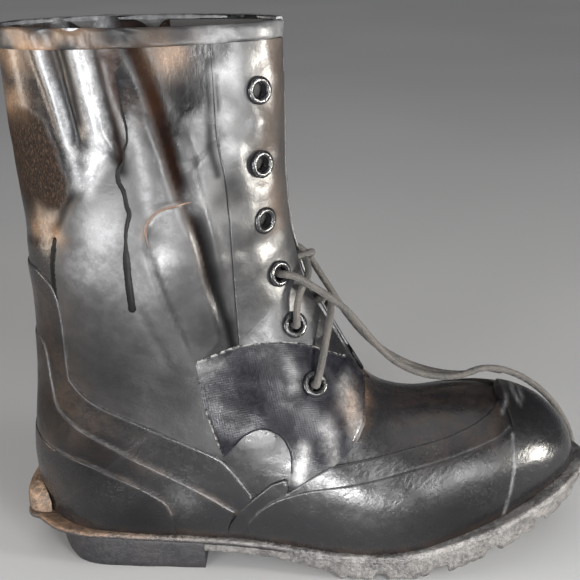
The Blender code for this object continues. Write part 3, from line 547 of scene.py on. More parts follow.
def waves(points, size, seed):
    """A gentle, irregular swell from -1 to 1 with features about this many mm across."""
    rng = np.random.default_rng(seed)
    total = np.zeros(len(points))
    for _ in range(WAVES):
        way = unit(rng.normal(size=3)) * rng.uniform(0.6, 1.5) * 2 * math.pi / size
        total += np.sin(points @ way + rng.uniform(0, 2 * math.pi))
    return total / math.sqrt(WAVES) / 1.6


# Creases of the outer side, in the side view: the line, its widths at both ends and its height.
CREASES = {
    "ridge_a": ([(29.5, 306), (31.4, 297), (35.2, 283.5), (38.7, 272), (42.3, 259), (45.2, 247),
                 (49, 233)], 4.2, 3.5, 1.9),
    "trough_ab": ([(38, 306), (41, 294), (44, 279), (48, 262), (51.5, 247), (53.5, 238)], 5.0, 3.2, -1.9),
    "ridge_b": ([(51, 306), (52.5, 297), (55, 285), (57.6, 272), (60.8, 260), (63.2, 248), (64, 236)], 5.6,
                5.0, 2.7),
    "valley_c": ([(59, 306), (59.8, 295), (62.6, 284), (65.6, 267), (69.4, 253), (72.5, 240), (74, 232)],
                 1.9, 1.6, -1.8),
    "ridge_cd": ([(66, 292), (69, 281), (72, 267), (77, 253), (81, 240)], 4.0, 4.0, 0.9),
    "valley_d": ([(76, 308), (79.1, 298), (84.9, 285.6), (90.2, 272), (94.6, 257), (98.2, 242.5),
                  (103.4, 222), (108.5, 209), (113.1, 192.4), (117, 170), (122.6, 146.6), (127, 130)], 5.6,
                 2.6, -3.2),
    "ridge_e": ([(100, 268), (106, 255), (111, 240), (115.5, 214), (120, 186), (124.5, 158)], 5.0, 3.5,
                1.0),
    "fold_f": ([(98.5, 249), (100.3, 251), (103.6, 254.3), (109.6, 260.7), (113, 262)], 1.8, 1.8, 0.7),
    "fold_g": ([(88.5, 208.5), (85.8, 203), (84.9, 195), (86.5, 188.7), (89, 177.6), (93, 163.6),
                (97.4, 149.2), (101.6, 134.6), (106, 121)], 1.5, 1.7, -0.9),
    "fold_h": ([(77, 164), (80, 156), (84.3, 144.3), (89.7, 131.4), (92.5, 120)], 2.4, 2.4, -0.45),
    "ridge_i": ([(83.5, 198), (84, 203), (86.6, 207.5), (90.6, 211.5), (95.9, 214), (101.9, 215),
                 (109, 215)], 1.6, 1.4, 0.6),
    "streak_j": ([(100, 291), (101.2, 280), (103.5, 270), (105.2, 262)], 1.6, 1.6, -0.5),
    "streak_k": ([(107, 288), (109.5, 274), (112, 262)], 1.5, 1.5, -0.45),
    "seam_notch": ([(121.4, 284), (121.5, 270.5), (121.5, 256), (121.2, 243)], 1.3, 1.3, -0.5),
}
INNER_CREASES = {
    "ridge_a": ([(32, 306), (36, 285), (42, 262), (47, 240), (49, 226)], 5.0, 4.0, 1.8),
    "trough_b": ([(44, 306), (50, 280), (55, 255), (59, 232)], 5.0, 4.0, -1.9),
    "ridge_c": ([(56, 306), (62, 280), (68, 252), (72, 230)], 5.5, 4.5, 2.0),
    "valley_d": ([(80, 308), (86, 284), (93, 257), (101, 226), (109, 200), (115, 172), (122, 140)], 5.4,
                 3.0, -2.9),
    "ridge_e": ([(98, 272), (107, 246), (113, 214), (119, 184), (123, 158)], 5.0, 3.5, 1.4),
    "fold_g": ([(82, 206), (83, 192), (88, 172), (95, 146), (103, 120)], 1.8, 1.8, -0.8),
    "fold_h": ([(60, 190), (64, 168), (70, 146)], 2.6, 2.6, -0.4),
}
# The sealed wool ends in an edge low on the shaft.
PAD_EDGE = [(8, 190), (24, 191), (33, 192.5), (38, 199), (43.7, 209.2), (47.9, 215.4), (52.7, 222),
            (57.7, 226.5), (61.9, 232.3), (65.5, 237.3), (68.5, 238.8), (71.2, 237.6), (74, 237.8),
            (77, 243), (79, 251), (81.5, 258), (85, 260), (90, 254), (96, 241), (103, 233), (112, 236),
            (122, 244), (150, 246), (166, 240)]
# Swellings: x, z, how far they reach each way, and their height.
SWELLINGS = [(72, 176, 40, 36, 3.2), (60, 190, 15, 17, 0.9), (93, 189, 9, 16, 1.0), (26, 214, 16, 14, -1.2),
             (30, 178, 18, 22, 0.8), (140, 90, 16, 16, 0.8), (66, 116, 40, 30, -1.2), (57, 233, 9, 11, 1.0)]


def near_line(points, line, spacing, reach):
    """Which points may lie within this reach of a smooth line in the side view, and for these the
    distance from it and the place along it."""
    low, high = np.min(line, axis=0) - reach, np.max(line, axis=0) + reach
    at = points[:, [0, 2]]
    near = np.flatnonzero(((at > low) & (at < high)).all(axis=1))
    distance, _, along, _ = nearest(points[near], smooth_line(line, spacing))
    return near, distance, along


def creased(points, creases):
    total = np.zeros(len(points))
    for line, first, last, height in creases.values():
        near, distance, along = near_line(points, line, 2.5, 3 * max(first, last))
        ends = step(1 - along, 0, 0.25) * (1 if line[0][1] > HEIGHT else step(along, 0, 0.15))
        total[near] += height * ends * np.exp(-((distance / (first + (last - first) * along)) ** 2))
    return total


def on_sides(points):
    """How far each point belongs to the outer and to the inner side."""
    return [np.clip((side * points[:, 1] - 6) / 14, 0, 1) for side in SIDES.values()]


def folds(points):
    outer, inner = on_sides(points)
    return outer * creased(points, CREASES) + inner * creased(points, INNER_CREASES)


def from_axis(points, centre, axis):
    """How far along an axis the points lie, and how far out from it."""
    away = points - centre
    height = away @ axis
    return height, np.linalg.norm(away - height[..., None] * axis, axis=-1)


def relief(points):
    """How far the rubber stands proud of the plain form, in mm."""
    x, _, z = points.T
    sides = sum(on_sides(points))
    total = folds(points)
    distance, side, _, _ = nearest(points, smooth_line(PAD_EDGE, 3))
    shaft = step(z, 150, 185)
    front = step(x, 118, 130)
    total += sides * shaft * (1 - front) * 0.55 * (-side) * (1 - np.exp(-((distance / 1.3) ** 2)))
    for at_x, at_z, wide, high, height in SWELLINGS:
        total += sides * height * np.exp(-(((x - at_x) / wide) ** 2) - ((z - at_z) / high) ** 2)
    pillow = 0.65 * waves(points, 26, 6) + 0.2 * waves(points, 13, 7)
    total += shaft * (0.6 * waves(points, 52, 3) + 0.28 * waves(points, 21, 4) + front * sides * pillow)
    total += (1 - shaft) * (0.25 * waves(points, 38, 5) + 0.06 * waves(points, 12, 9))
    for centre, axis in SEATS.values():
        height, flat = from_axis(points, centre, axis)
        pucker = 0.2 * np.exp(-(((flat - 13) / 5) ** 2)) - 0.35 * np.exp(-((flat / 8) ** 2))
        total += np.where(np.abs(height) < 9, pucker, 0)
    return total


# ---- eyelets' seats
def eyelet_frame(row, around, cover):
    """Seat of an eyelet: its centre clear of the layer under it, and the way it faces."""
    axis = normal(row, around)
    centre = surface(row, around)
    rows, rounds = np.meshgrid(row + np.linspace(-2, 2, 25), around + np.linspace(-0.2, 0.2, 25))
    height, flat = from_axis(surface(rows, rounds), centre, axis)
    raised = height[(flat < EYELET_OUTER + 0.4) & (height > -6)].max()
    return centre + axis * (raised + GAP + cover + GAP), axis


SIDES = {"outer": OUTER, "inner": INNER}
SEATS = {
    (side, number): eyelet_frame(row, side * around, PATCH if number == 1 else EYESTAY)
    for side in SIDES.values()
    for number, (row, around) in enumerate(EYELETS, 1)
}


def from_holes(points, side):
    """Distance from the nearest eyelet's axis, for points near its seat."""
    nearest_axis = np.full(len(points), FAR)
    for (seat_side, _), (centre, axis) in SEATS.items():
        height, flat = from_axis(points, centre, axis)
        near = (np.abs(height) < 12) & (side == seat_side)
        nearest_axis = np.where(near, np.minimum(nearest_axis, flat), nearest_axis)
    return nearest_axis


# ---- the upper and what is laid over it
def from_flap_edge(sheet):
    """Distance from the flap's front edge, above the throat."""
    edge = flap_edge(np.maximum(sheet.row, 0.5))
    nudge = 0.01 * sheet.side
    pace = np.linalg.norm(surface(sheet.row, sheet.around + nudge) - sheet.form, axis=1) / 0.01
    return np.where(sheet.row > THROAT_ROW, (np.abs(sheet.around) - edge) * pace, FAR)


def round_over(distance, width):
    """From 0 at an edge to 1 inside it, as a quarter round."""
    return np.sqrt(np.maximum(1 - (1 - np.clip(distance / width, 0, 1)) ** 2, 0))


def above_feather(sheet, points):
    """Points kept clear of the welt under them."""
    low = sheet.row < HEEL_ROW
    points[:, 2] = np.where(low, np.maximum(points[:, 2], feather_z(points[:, 0]) + 0.05), points[:, 2])
    return points


DULL_ZONE = ([(34.5, 192)] + PAD_EDGE[3:12]
             + [(74, 238), (77, 247), (79, 262), (84, 268), (89, 256), (94, 238), (99, 222), (105, 205),
                (110, 188), (114, 165), (119, 138), (108, 126), (111, 101), (119.5, 74)]
             + STRAP_TOP[7:1:-1])
PEBBLE_ZONE = [(6, 262), (26, 262), (34.9, 256), (40, 242), (45, 226), (44, 216), (39, 209), (6, 212)]
CREASED_ZONE = [(88, 296), (118, 298), (118, 262), (104, 250), (100, 236), (94, 257)]
# Where a dark brown reflection is painted into the glossy rubber, in its folds.
BROWN_REFLECTION_ZONES = [
    [(55, 299), (60, 284), (63.5, 268), (67.5, 253), (71, 240), (73, 231), (76.5, 238), (77, 250),
     (75, 264), (73, 278), (76, 299)],
    [(75.6, 299), (81, 285), (85.2, 272), (89.5, 257), (93, 242.6), (98, 222), (103.6, 209), (107.7, 193),
     (112.5, 170), (117.2, 147), (120, 134), (125, 134), (122.6, 146.6), (116.8, 170), (113, 192.4),
     (109, 209), (106, 222), (103, 238), (99, 256), (95, 270), (91, 283), (88, 299)],
]
MATTE_ZONE = [(120.5, 299), (122.5, 245), (126, 222), (127, 190), (129, 134), (200, 130), (200, 299)]
PALE_ZONE = [(106, 258), (118, 262), (122, 246), (126, 222), (127, 190), (128, 150), (123, 150), (117, 178),
             (112, 200), (107, 224), (104, 240)]
# Where and how far the bloom, the dirt and the scuffs reach: x, z, radius, strength.
BLOOM_SPOTS = [(232, 77, 7, 0.4), (143, 76, 15, 0.8), (205, 66, 40, 0.2), (96, 56, 12, 0.2)]
DIRT_SPOTS = [(22, 150, 20, 0.35), (24, 125, 16, 0.55), (30, 100, 20, 0.6), (50, 88, 16, 0.4),
              (72, 77, 12, 0.25), (20, 78, 12, 0.45), (97, 287, 14, 0.5), (84, 262, 10, 0.3),
              (45, 286, 8, 0.4), (27, 266, 9, 0.4), (8, 235, 16, 0.4), (20, 50, 14, 0.25),
              (110, 215, 8, 0.3), (30, 290, 14, 0.35), (66, 288, 8, 0.5), (190, 92, 9, 0.35),
              (262, 88, 18, 0.35), (236, 86, 22, 0.25)]
DIRT_LINES = [(CREASES["ridge_i"][0], 1.3, 0.9), (COUNTER_TOP, 1.6, 0.4), (HEEL_FOXING_TOP, 1.6, 0.4)]
# Painted highlights, light grey, with a few real scratches on the toe cap's lip, and painted shade, near
# black: lines (line, width, strength) and spots.
HIGHLIGHT_AND_SCRATCH_LINES = [
    ([(31, 301), (32.1, 297.2), (36.3, 283.5), (39.9, 271.9), (43.5, 259), (45.6, 247.3), (49.1, 234.2),
      (52.5, 224)], 2.2, 0.95),
    ([(53.5, 300), (54.8, 295.6), (57, 281.9), (59.6, 269.8), (61.6, 257.7), (62.6, 245.3), (60.5, 235),
      (56, 225)], 4.6, 1.15),
    ([(80, 257), (82, 248), (84.2, 237.5), (86.1, 222.3), (87, 212)], 3.0, 0.4),
    (CAP_EDGE[4:], 0.6, 0.3), (TOE_FOXING_TOP, 0.5, 0.1), (BAND_TOP, 0.5, 0.07), (STRAP_TOP, 0.5, 0.1),
    (COUNTER_TOP, 0.6, 0.16), (HEEL_FOXING_TOP, 0.6, 0.14), ([(274, 83), (279, 86)], 0.7, 0.2),
    ([(281, 88), (285, 83.5)], 0.7, 0.25), ([(284, 88.5), (288, 84)], 0.7, 0.25),
]
HIGHLIGHT_SPOTS = [(55, 227, 7, 0.8), (57, 240, 6, 0.5), (64, 201, 13, 0.55), (57, 184, 13, 0.4),
              (93, 188, 7, 0.5), (74, 178, 17, 0.2), (127, 279, 7, 0.6), (126, 256, 6, 0.4),
              (131, 240, 5, 0.35), (110, 216, 6, 0.3), (96, 205, 7, 0.25), (176, 62, 12, 0.12),
              (196, 54, 16, 0.08), (98, 50, 9, 0.12)]
# Painted shade, near black, in creases and on darker parts of the shaft, foot and toe.
SHADE_LINES = [
    ([(42, 306), (46, 292), (50, 276), (52, 264), (53, 256)], 3.4, 0.9),
    ([(60.8, 300), (63.4, 284), (67, 267), (71, 253), (73.8, 240), (74.7, 232)], 3.4, 0.95),
    ([(77, 300), (85, 285), (91, 270), (95, 256)], 5.0, 0.6),
    ([(96, 252), (100, 236), (105, 219), (109.5, 206), (114, 190), (118, 170), (123, 150), (127, 132)],
     4.6, 1.0),
    ([(35.5, 199), (40.5, 207), (45, 215), (50, 221)], 3.6, 0.9),
    ([(119, 285), (119.3, 262), (119, 243), (122, 228)], 2.4, 0.85),
    ([(86.5, 203), (85.4, 195), (87, 188), (90, 176), (94, 162), (98, 148)], 1.8, 0.6),
]
SHADE_SPOTS = [(60, 116, 36, 0.75), (95, 112, 34, 0.75), (40, 128, 20, 0.6), (112, 142, 18, 0.7),
              (98, 160, 15, 0.35), (20, 232, 24, 0.8), (20, 214, 14, 0.9), (20, 96, 28, 0.75),
              (24, 130, 24, 0.7), (52, 72, 24, 0.75), (96, 52, 14, 0.3), (280, 80, 18, 0.7),
              (70, 30, 28, 0.6), (250, 40, 36, 0.6), (108, 270, 12, 0.8), (102, 254, 10, 0.6),
              (130, 219, 9, 0.7), (140, 205, 9, 0.4), (136, 160, 12, 0.4), (143, 262, 9, 0.3)]
# Painted warm highlights, tan: spots and a line.
WARM_HIGHLIGHT_SPOTS = [(28, 200, 8, 0.55), (15, 264, 9, 0.5), (14, 288, 10, 0.4), (99, 288, 9, 0.35),
             (36, 196, 5, 0.5), (189, 95, 8, 0.5)]
WARM_HIGHLIGHT_LINES = [([(149, 290), (148, 250), (147, 225), (149, 195)], 5.0, 0.13)]
# The woven patch: where a highlight is painted on it, and it is more specular.
PATCH_HIGHLIGHTS = [
    ([(185, 106), (188, 98), (192, 88), (194, 82)], 4.2, 0.8),
    ([(164, 78), (162, 70), (160, 62)], 3.6, 1.0), ([(175, 88), (178, 78), (179, 70)], 3.6, 0.7),
    ([(108, 124), (118, 126)], 3.5, 0.35), ([(156, 122), (159, 110)], 3.0, 0.3),
]
SCUFFS = [(234, 75, 6, 0.3), (258, 52, 12, 0.15), (96, 47, 10, 0.25), (60, 52, 9, 0.2), (100, 66, 8, 0.2)]


def spots_at(points, spots):
    total = np.zeros(len(points))
    for x, z, radius, strength in spots:
        away = np.hypot(points[:, 0] - x, points[:, 2] - z) / radius
        total = np.maximum(total, strength * np.exp(-(away**2)))
    return total


def lines_at(points, lines):
    total = np.zeros(len(points))
    for line, width, strength in lines:
        near, distance, _ = near_line(points, line, 4, 3 * width)
        total[near] = np.maximum(total[near], strength * np.exp(-((distance / width) ** 2)))
    return total


def marks_on(sheet):
    """How strong each kind of wear, each painted highlight and reflection and the painted shade are at each
    point; sway keeps its outlines from being smooth.
    """
    form = sheet.form
    sway = points_at(waves(form, 16, 71), 0, waves(form, 16, 72))
    zone = step(inside(form + 0.4 * sway, DULL_ZONE)[0], -0.6, 0.9)
    for outline, strength in ((MATTE_ZONE, 0.85), (PALE_ZONE, 0.9)):
        zone = np.maximum(zone, strength * step(inside(form + 0.5 * sway, outline)[0], -1.5, 1.5))
    # Painted brown reflection, in the pebbled part and the folds.
    brown = 0.8 * step(inside(form + sway, PEBBLE_ZONE)[0], -2, 3)
    for outline in BROWN_REFLECTION_ZONES:
        brown = np.maximum(brown, step(inside(form + 0.3 * sway, outline)[0], -0.7, 1.2))
    brown *= step(form[:, 2], 140, 215)
    zone *= 1 - brown
    low = step(form[:, 2] - feather_z(form[:, 0]), 9, 0.5)
    dirt = np.maximum(spots_at(form + 3 * sway, DIRT_SPOTS), lines_at(form + 0.5 * sway, DIRT_LINES))
    pebbled = step(inside(form + sway, PEBBLE_ZONE)[0], -2.0, 3.0)
    deep = np.maximum(lines_at(form + 0.4 * sway, SHADE_LINES), spots_at(form + 3 * sway, SHADE_SPOTS))
    return {
        "bloom": np.clip(np.maximum(zone, spots_at(form + 2 * sway, BLOOM_SPOTS)), 0, 1),
        "dust": np.clip(dirt + 0.3 * low, 0, 1),
        "brown": brown,
        "sunk": np.clip(-folds(form) / 2.6, 0, 1),
        "highlight_and_scratch": np.maximum(lines_at(form + 0.3 * sway, HIGHLIGHT_AND_SCRATCH_LINES), spots_at(form + 2 * sway, HIGHLIGHT_SPOTS)),
        "deep": np.clip(np.maximum(deep, 0.85 * pebbled), 0, 1),
        "tan": np.maximum(lines_at(form, WARM_HIGHLIGHT_LINES), spots_at(form + 2 * sway, WARM_HIGHLIGHT_SPOTS)),
        "patch_highlight": np.clip(lines_at(form + sway, PATCH_HIGHLIGHTS), 0, 1),
        "frayed": lines_at(form, [(PATCH_TOP, 0.7, 1.0), (PATCH_BACK, 0.7, 1.0)]),
        "scuff": spots_at(form, SCUFFS),
        "pebble": pebbled,
        "cracked": step(inside(form + sway, CREASED_ZONE)[0], -2.0, 4.0),
    }


FLOOR_Z = -10.0  # an outline that runs down to here ends at the feather line
# Where the skin of the shaft and that of the foot meet, under the strap and the patch.
SKIN_BORDER = [(-20, 157), (19, 154), (28, 145), (30.5, 117), (33, 105), (44, 96), (68, 84.5), (98, 70.5),
               (112, 63), (128, 52), (134, 48), (140, 47), (152, 50), (158, 62), (170, 72), (184, 86),
               (192, 100), (194, 125)]


def make_skin(name, sheet, outline, finish):
    signed, across = inside(sheet.form, outline)
    sheet.cut(on_surface(signed, across, sheet.out))
    sheet.cut(from_holes(sheet.form, sheet.side), SKIN_HOLE)
    edge = round_over(from_flap_edge(sheet), 1.3)
    outer = sheet.raised(relief(sheet.form) - 1.0 * (1 - edge))
    inner = sheet.raised(-wall(sheet.row, sheet.around) + 0.4 * (1 - edge) + 0.15 * waves(sheet.form, 14, 8))
    body = closed(above_feather(sheet, outer), inner, sheet.triangles, marks_on(sheet))
    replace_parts(new_body(name, body, finish), "upper")


def make_upper(finish):
    shaft = SKIN_BORDER + [(240, 125), (240, 330), (-20, 330)]
    foot = SKIN_BORDER + [(240, 125), (345, 125), (345, FLOOR_Z), (-20, FLOOR_Z)]
    sheet = Sheet(step=1.45, columns=150, low=7, inner_columns=46)
    make_skin("shaft_skin", sheet, shaft, finish)
    sheet = Sheet(step=2.4, columns=80, high=HEEL_ROW + 5, inner_columns=52)
    make_skin("foot_skin", sheet, foot, finish)


def moved(line, dx=0.0, dz=0.0):
    return [(x + dx, z + dz) for x, z in line]


# Sheets that the layers are cut from; the far side, which is plainer, has fewer points.
BASE = Sheet(step=1.7, columns=136, high=24, inner_columns=78)
TALL = Sheet(step=1.7, columns=136, low=8, inner_columns=78)
EDGE_WALL, EDGE_ROUND = 0.2, 1.5
EDGE_CUTS = (1.5, 0.9, 0.5, 0.2)  # lines of points beside a seam, which carry its rounded edge


def layer(name, node, thick, outline, seams, finish, base=BASE, side=None):
    """A sheet of rubber with this side outline; its edges along the seams are rounded."""
    sheet = copy.copy(base)
    if side is not None:
        sheet.keep_side(side)
    signed, across = inside(sheet.form, outline)
    sheet.cut(on_surface(signed, across, sheet.out))
    if node.startswith(("eyestay", "ankle_patch")):
        sheet.cut(from_holes(sheet.form, sheet.side), LAYER_HOLE)

    def seam_distance():
        distance = np.full(len(sheet.row), FAR)
        for seam in seams:
            gap, _, _, across = nearest(sheet.form, seam)
            distance = np.minimum(distance, on_surface(gap, across, sheet.out))
        return np.minimum(distance, from_flap_edge(sheet))

    for level in EDGE_CUTS:
        sheet.cut(seam_distance(), level, keep_below=True)
    rounding = EDGE_WALL + (1 - EDGE_WALL) * round_over(seam_distance(), EDGE_ROUND)
    top = relief(sheet.form) + GAP + thick * rounding
    outer, inner = (above_feather(sheet, sheet.raised(mm)) for mm in (top, relief(sheet.form) - LAYER_ROOT))
    body = closed(outer, inner, sheet.triangles, marks_on(sheet))
    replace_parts(new_body(name, body, finish), node)


def make_layers(rubber, cloth, skin):
    strap, counter, foxing_top, band_top, toe_top, cap, patch_top, patch_back, patch_front, arch, stay = (
        [tuple(p) for p in smooth_line(line, 2.5)]
        for line in (STRAP_TOP, COUNTER_TOP, HEEL_FOXING_TOP, BAND_TOP, TOE_FOXING_TOP, CAP_EDGE, PATCH_TOP,
                     PATCH_BACK, PATCH_FRONT, ARCH, EYESTAY_SEAM)
    )
    heel_front = [(125.3, 41.5), (121.2, 31), (117, FLOOR_Z)]
    layer("heel_strap_skin", "heel_strap", 0.8, [(-20, 178)] + strap + [(134, 44), (126, 34)]
          + moved(counter[::-1], 0, -1.6) + [(-20, 134.4)], [strap], rubber)
    layer("counter_skin", "counter", 1.6, [(-20, 136)] + counter + heel_front + [(-20, FLOOR_Z)],
          [counter, heel_front], rubber)
    layer("heel_foxing_skin", "heel_foxing", 2.3, [(-20, 77)] + foxing_top + [(92, FLOOR_Z), (-20, FLOOR_Z)],
          [foxing_top + [(92, 20)]], rubber)
    layer("toe_cap_skin", "toe_cap", 2.4, cap + [(273, FLOOR_Z), (345, FLOOR_Z), (345, 99)],
          [cap + [(275, 30)]], rubber)
    band_front = [(152.8, 62), (154.6, 61), (155, 56)] + moved(patch_front[:-4], 0.2, -0.4)
    back = [(110, FLOOR_Z), (121.5, 32), (127, 41), (136, 50.5), (145.5, 59), (152.8, 62)]
    over = band_front + band_top
    for side_name, side in SIDES.items():
        layer("toe_foxing_skin_" + side_name, "toe_foxing_" + side_name, 1.8,
              toe_top + [(283, 78), (283, FLOOR_Z), (120, FLOOR_Z)], [[(128, 20)] + toe_top], rubber,
              side=side)
        layer("foxing_band_skin_" + side_name, "foxing_band_" + side_name, 1.25,
              back + over + [(281, 87), (281, FLOOR_Z)], [back, over], rubber, side=side)
        layer("ankle_patch_skin_" + side_name, "ankle_patch_" + side_name, 0.85,
              patch_top + [(197, 105)] + moved(patch_front[::-1], 1, -1.6) + arch + patch_back,
              [patch_top, patch_back, arch, patch_front[-5:] + [(197, 105)]], cloth, side=side)
        layer("eyestay_skin_" + side_name, "eyestay_" + side_name, 0.6,
              stay + moved([p for p in patch_top if p[0] > 130], 0, -1.6) + [(190, 117), (190, 293.2)],
              [stay], skin, TALL, side)


def make_toe_tip(finish):
    """The foremost part of the toe cap, which closes the first section."""
    around = np.linspace(-1, 1, 49)
    form, out = surface(0, around), normal(0, around)
    ring = form + out * (relief(form) + GAP + TOE_CAP)[:, None]
    centre = ring.mean(axis=0)
    shares = np.array([1.05, 1.0, 0.9, 0.75, 0.5, 0.25, 0.02])
    outer = (centre + (ring - centre) * shares[:, None, None]).reshape(-1, 3)
    outer[:, 0] += np.repeat(0.9 * (1 - shares**2), len(around)) - 0.1
    outer[:, 2] = np.maximum(outer[:, 2], feather_z(outer[:, 0]) + 0.05)
    inner = outer - (2.5, 0, 0)
    points, triangles, _ = closed(outer, inner, grid_triangles(len(shares), len(around), wrap=True), {})
    # The tip carries some painted shade, near black.
    piece = new_mesh("toe_tip", points, triangles, finish, {"deep": np.full(len(points), 0.4)})
    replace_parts(piece, "toe_cap")


def on_outer_side(line):
    """The sections and places round the boot where these points of the side view lie."""
    rows, rounds = np.meshgrid(np.linspace(1, LAST - 0.05, 240), OUTER * np.linspace(0.03, 0.97, 160),
                               indexing="ij")
    grid = surface(rows, rounds)
    away = [np.hypot(grid[..., 0] - x, grid[..., 2] - z).argmin() for x, z in line]
    row, around = rows.ravel()[away], rounds.ravel()[away]
    for _ in range(6):
        here = surface(row, around)[:, [0, 2]]
        by_row = (surface(row + 1e-3, around)[:, [0, 2]] - here) / 1e-3
        by_round = (surface(row, around + 1e-4)[:, [0, 2]] - here) / 1e-4
        gap = line - here
        area = by_row[:, 0] * by_round[:, 1] - by_row[:, 1] * by_round[:, 0]
        row = row + (gap[:, 0] * by_round[:, 1] - gap[:, 1] * by_round[:, 0]) / area
        around = around + (by_row[:, 0] * gap[:, 1] - by_row[:, 1] * gap[:, 0]) / area
    return row, around


BEAD_STEP = 0.7


def bead(name, line, widths, height, finish, ragged=0.0, **marks):
    """A raised line of rubber with round ends; widths go with the points of the line."""
    middle = smooth_line(line, BEAD_STEP)
    places = np.linspace(0, 1, len(middle))
    half = smooth(np.linspace(0, 1, len(widths)), widths, places) / 2
    half = half * (1 + ragged * waves(np.column_stack([middle, 0 * places]), 3.5, 81))
    ends = np.minimum(places, 1 - places) * (len(middle) - 1) * BEAD_STEP
    half = half * round_over(ends, np.maximum(half, 0.3))
    along = unit(np.gradient(middle, axis=0))
    across = np.stack([-along[:, 1], along[:, 0]], -1)
    shares = np.sin(np.linspace(-math.pi / 2, math.pi / 2, 9))
    spread = middle[:, None] + across[:, None] * (half[:, None] * shares)[..., None]
    row, around = on_outer_side(spread.reshape(-1, 2))
    form, out = surface(row, around), normal(row, around)
    swell = (np.sqrt(1 - shares**2)[None, :] * np.minimum(1, half / 0.6)[:, None]).ravel() * height
    base = relief(form)
    outer = form + out * (base + swell)[:, None]
    inner = form + out * (base - 0.35)[:, None]
    body = closed(outer, inner, grid_triangles(len(middle), len(shares)), {}, within=1e-6)
    marks = {key: np.full(len(body[0]), value) for key, value in marks.items()}
    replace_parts(new_mesh(name, *body[:2], finish, marks), "upper")


DRIP = [(73.6, 279.5), (74.8, 272.1), (75.7, 262.5), (77.7, 253.7), (77.7, 246.8), (75.9, 242.8),
        (75.3, 237.6), (72.6, 231.8), (72.7, 226.7), (75, 221.6), (76.1, 214.9), (77.3, 210.4),
        (75.9, 204.9), (75, 198.4), (74.9, 183.5), (75.3, 169.7), (75.7, 158)]
DRIP_WIDTHS = (0.5, 0.8, 1.0, 1.3, 1.2, 1.4, 2.4, 2.6, 2.4, 2.6, 2.2, 1.7, 3.4, 3.9, 3.8, 3.9, 4.2)
STRAP_LINE = [(36.4, 196), (34.5, 181.6), (33.6, 166.1), (34.2, 153.8), (34, 134.8), (35.2, 120)]
STRAP_LINE_WIDTHS = (2.8, 2.8, 2.4, 1.2, 1.0, 0.8)
LIP = [(85.9, 193), (85, 200.9), (86.6, 206), (90.6, 210.6), (95.9, 213), (101.9, 214), (108.9, 215)]


def make_drips(black, brown):
    """Rubber cement that has run and set, and the lip of a fold."""
    # The cement beads take the near-black mark for their own black colour.
    bead("cement_drip", DRIP, DRIP_WIDTHS, 0.6, black, ragged=0.12, deep=0.75)
    bead("strap_cement", STRAP_LINE, STRAP_LINE_WIDTHS, 0.5, black, ragged=0.2, deep=0.75)
    bead("fold_lip", LIP, (0.8, 1.1, 1.2, 1.1, 1.3, 1.0, 0.8), 0.25, brown)


def make_binding(finish):
    """The strip round the collar, turned over its edge and a little way down inside."""
    # How far below the collar's edge, and how far out from the shaft.
    profile = [(8.3, 0.1), (8.2, 0.7), (7.9, 1.05), (7.4, 1.3), (6.6, 1.5), (5.6, 1.6), (4.6, 1.65),
               (3.2, 1.7), (1.8, 1.65), (0.8, 1.4), (0.1, 0.9), (-0.1, 0.2), (-0.15, -0.8), (-0.15, -1.8),
               (0.1, -2.6), (0.7, -3.0), (1.6, -3.1), (1.6, -2.6)]
    per_mm = 1 / (HEIGHT - SECTIONS["shaft_5"][1])
    edge, columns = float(flap_edge(float(LAST))), 130
    around = np.concatenate([np.linspace(-edge, -1, columns), np.linspace(1, edge, columns)[1:]])
    ends = np.minimum(np.arange(len(around)), np.arange(len(around))[::-1]) * 0.85
    shrink = 0.45 + 0.55 * round_over(ends, 1.6)
    rings = []
    for below, lift in profile:
        row = LAST - max(below, 0.02) * per_mm + 0 * around
        form, out = surface(row, around), normal(row, around)
        swell = 0.8 * relief(form) * np.clip(below / 2, 0.3, 1)
        wave = 0.16 * waves(form, 17, 11)
        point = form + out * ((lift * shrink if lift > 0 else lift) + swell + wave)[:, None]
        point[:, 2] += -min(below, 0) + 0.25 * (wave if below > 5 else 0)
        rings.append(point)
    rings = np.stack(rings, 1)
    points = rings.reshape(-1, 3)
    # The strip's colour marks: painted warm highlights at the back, painted light grey highlights at the
    # front and on the part turned inside, and painted shade between, broken up in patches.
    patchy = np.clip(0.75 * waves(points, 30, 14) + 0.45, 0, 1)
    back = step(points[:, 0], 75, 45)
    front = step(points[:, 0], 100, 125)
    turned = np.tile([1.0 * (lift < -0.5) for _, lift in profile], len(around))
    marks = {"tan": (1 - turned) * patchy * (0.5 * back + 0.12 * (1 - front)),
             "highlight_and_scratch": np.maximum(0.35 * patchy * front, 0.55 * turned),
             "deep": 0.5 * (1 - back) * (1 - front), "bloom": 0 * back + 0.6}
    piece = new_tube("collar_strip", rings, finish, marks)
    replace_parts(piece, "collar_binding")


def make_tongue(finish):
    """The gusset behind the laces, softly folded."""
    low, high = THROAT_ROW - 1.5, LAST - 0.1
    rows, across = np.linspace(low, high, 190), np.linspace(-1, 1, 61)
    reach = smooth((low, 13, 20, LAST), (0.16, 0.34, 0.42, 0.46), rows)
    row, share = np.meshgrid(rows, across, indexing="ij")
    around = share * reach[:, None]
    form = surface(row, around).reshape(-1, 3)
    out = normal(row, around).reshape(-1, 3)
    folds = 0.5 * waves(form * (1, 1, 2.0), 60, 21) + 0.2 * waves(form, 22, 22)
    middle = (1 - share.ravel() ** 2) * step(row.ravel(), THROAT_ROW, THROAT_ROW + 2)
    laced = step(row.ravel(), THROAT_ROW + 0.5, THROAT_ROW + 1.5) * step(-row.ravel(), -20, -18.5)
    front = -wall(row, around).ravel() - 1.2 - 3.2 * laced + folds * middle
    triangles = grid_triangles(len(rows), len(across))
    outer, inner = (form + out * (front - depth)[:, None] for depth in (0, 2.0))
    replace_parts(new_body("tongue_skin", closed(outer, inner, triangles, {}), finish), "tongue")


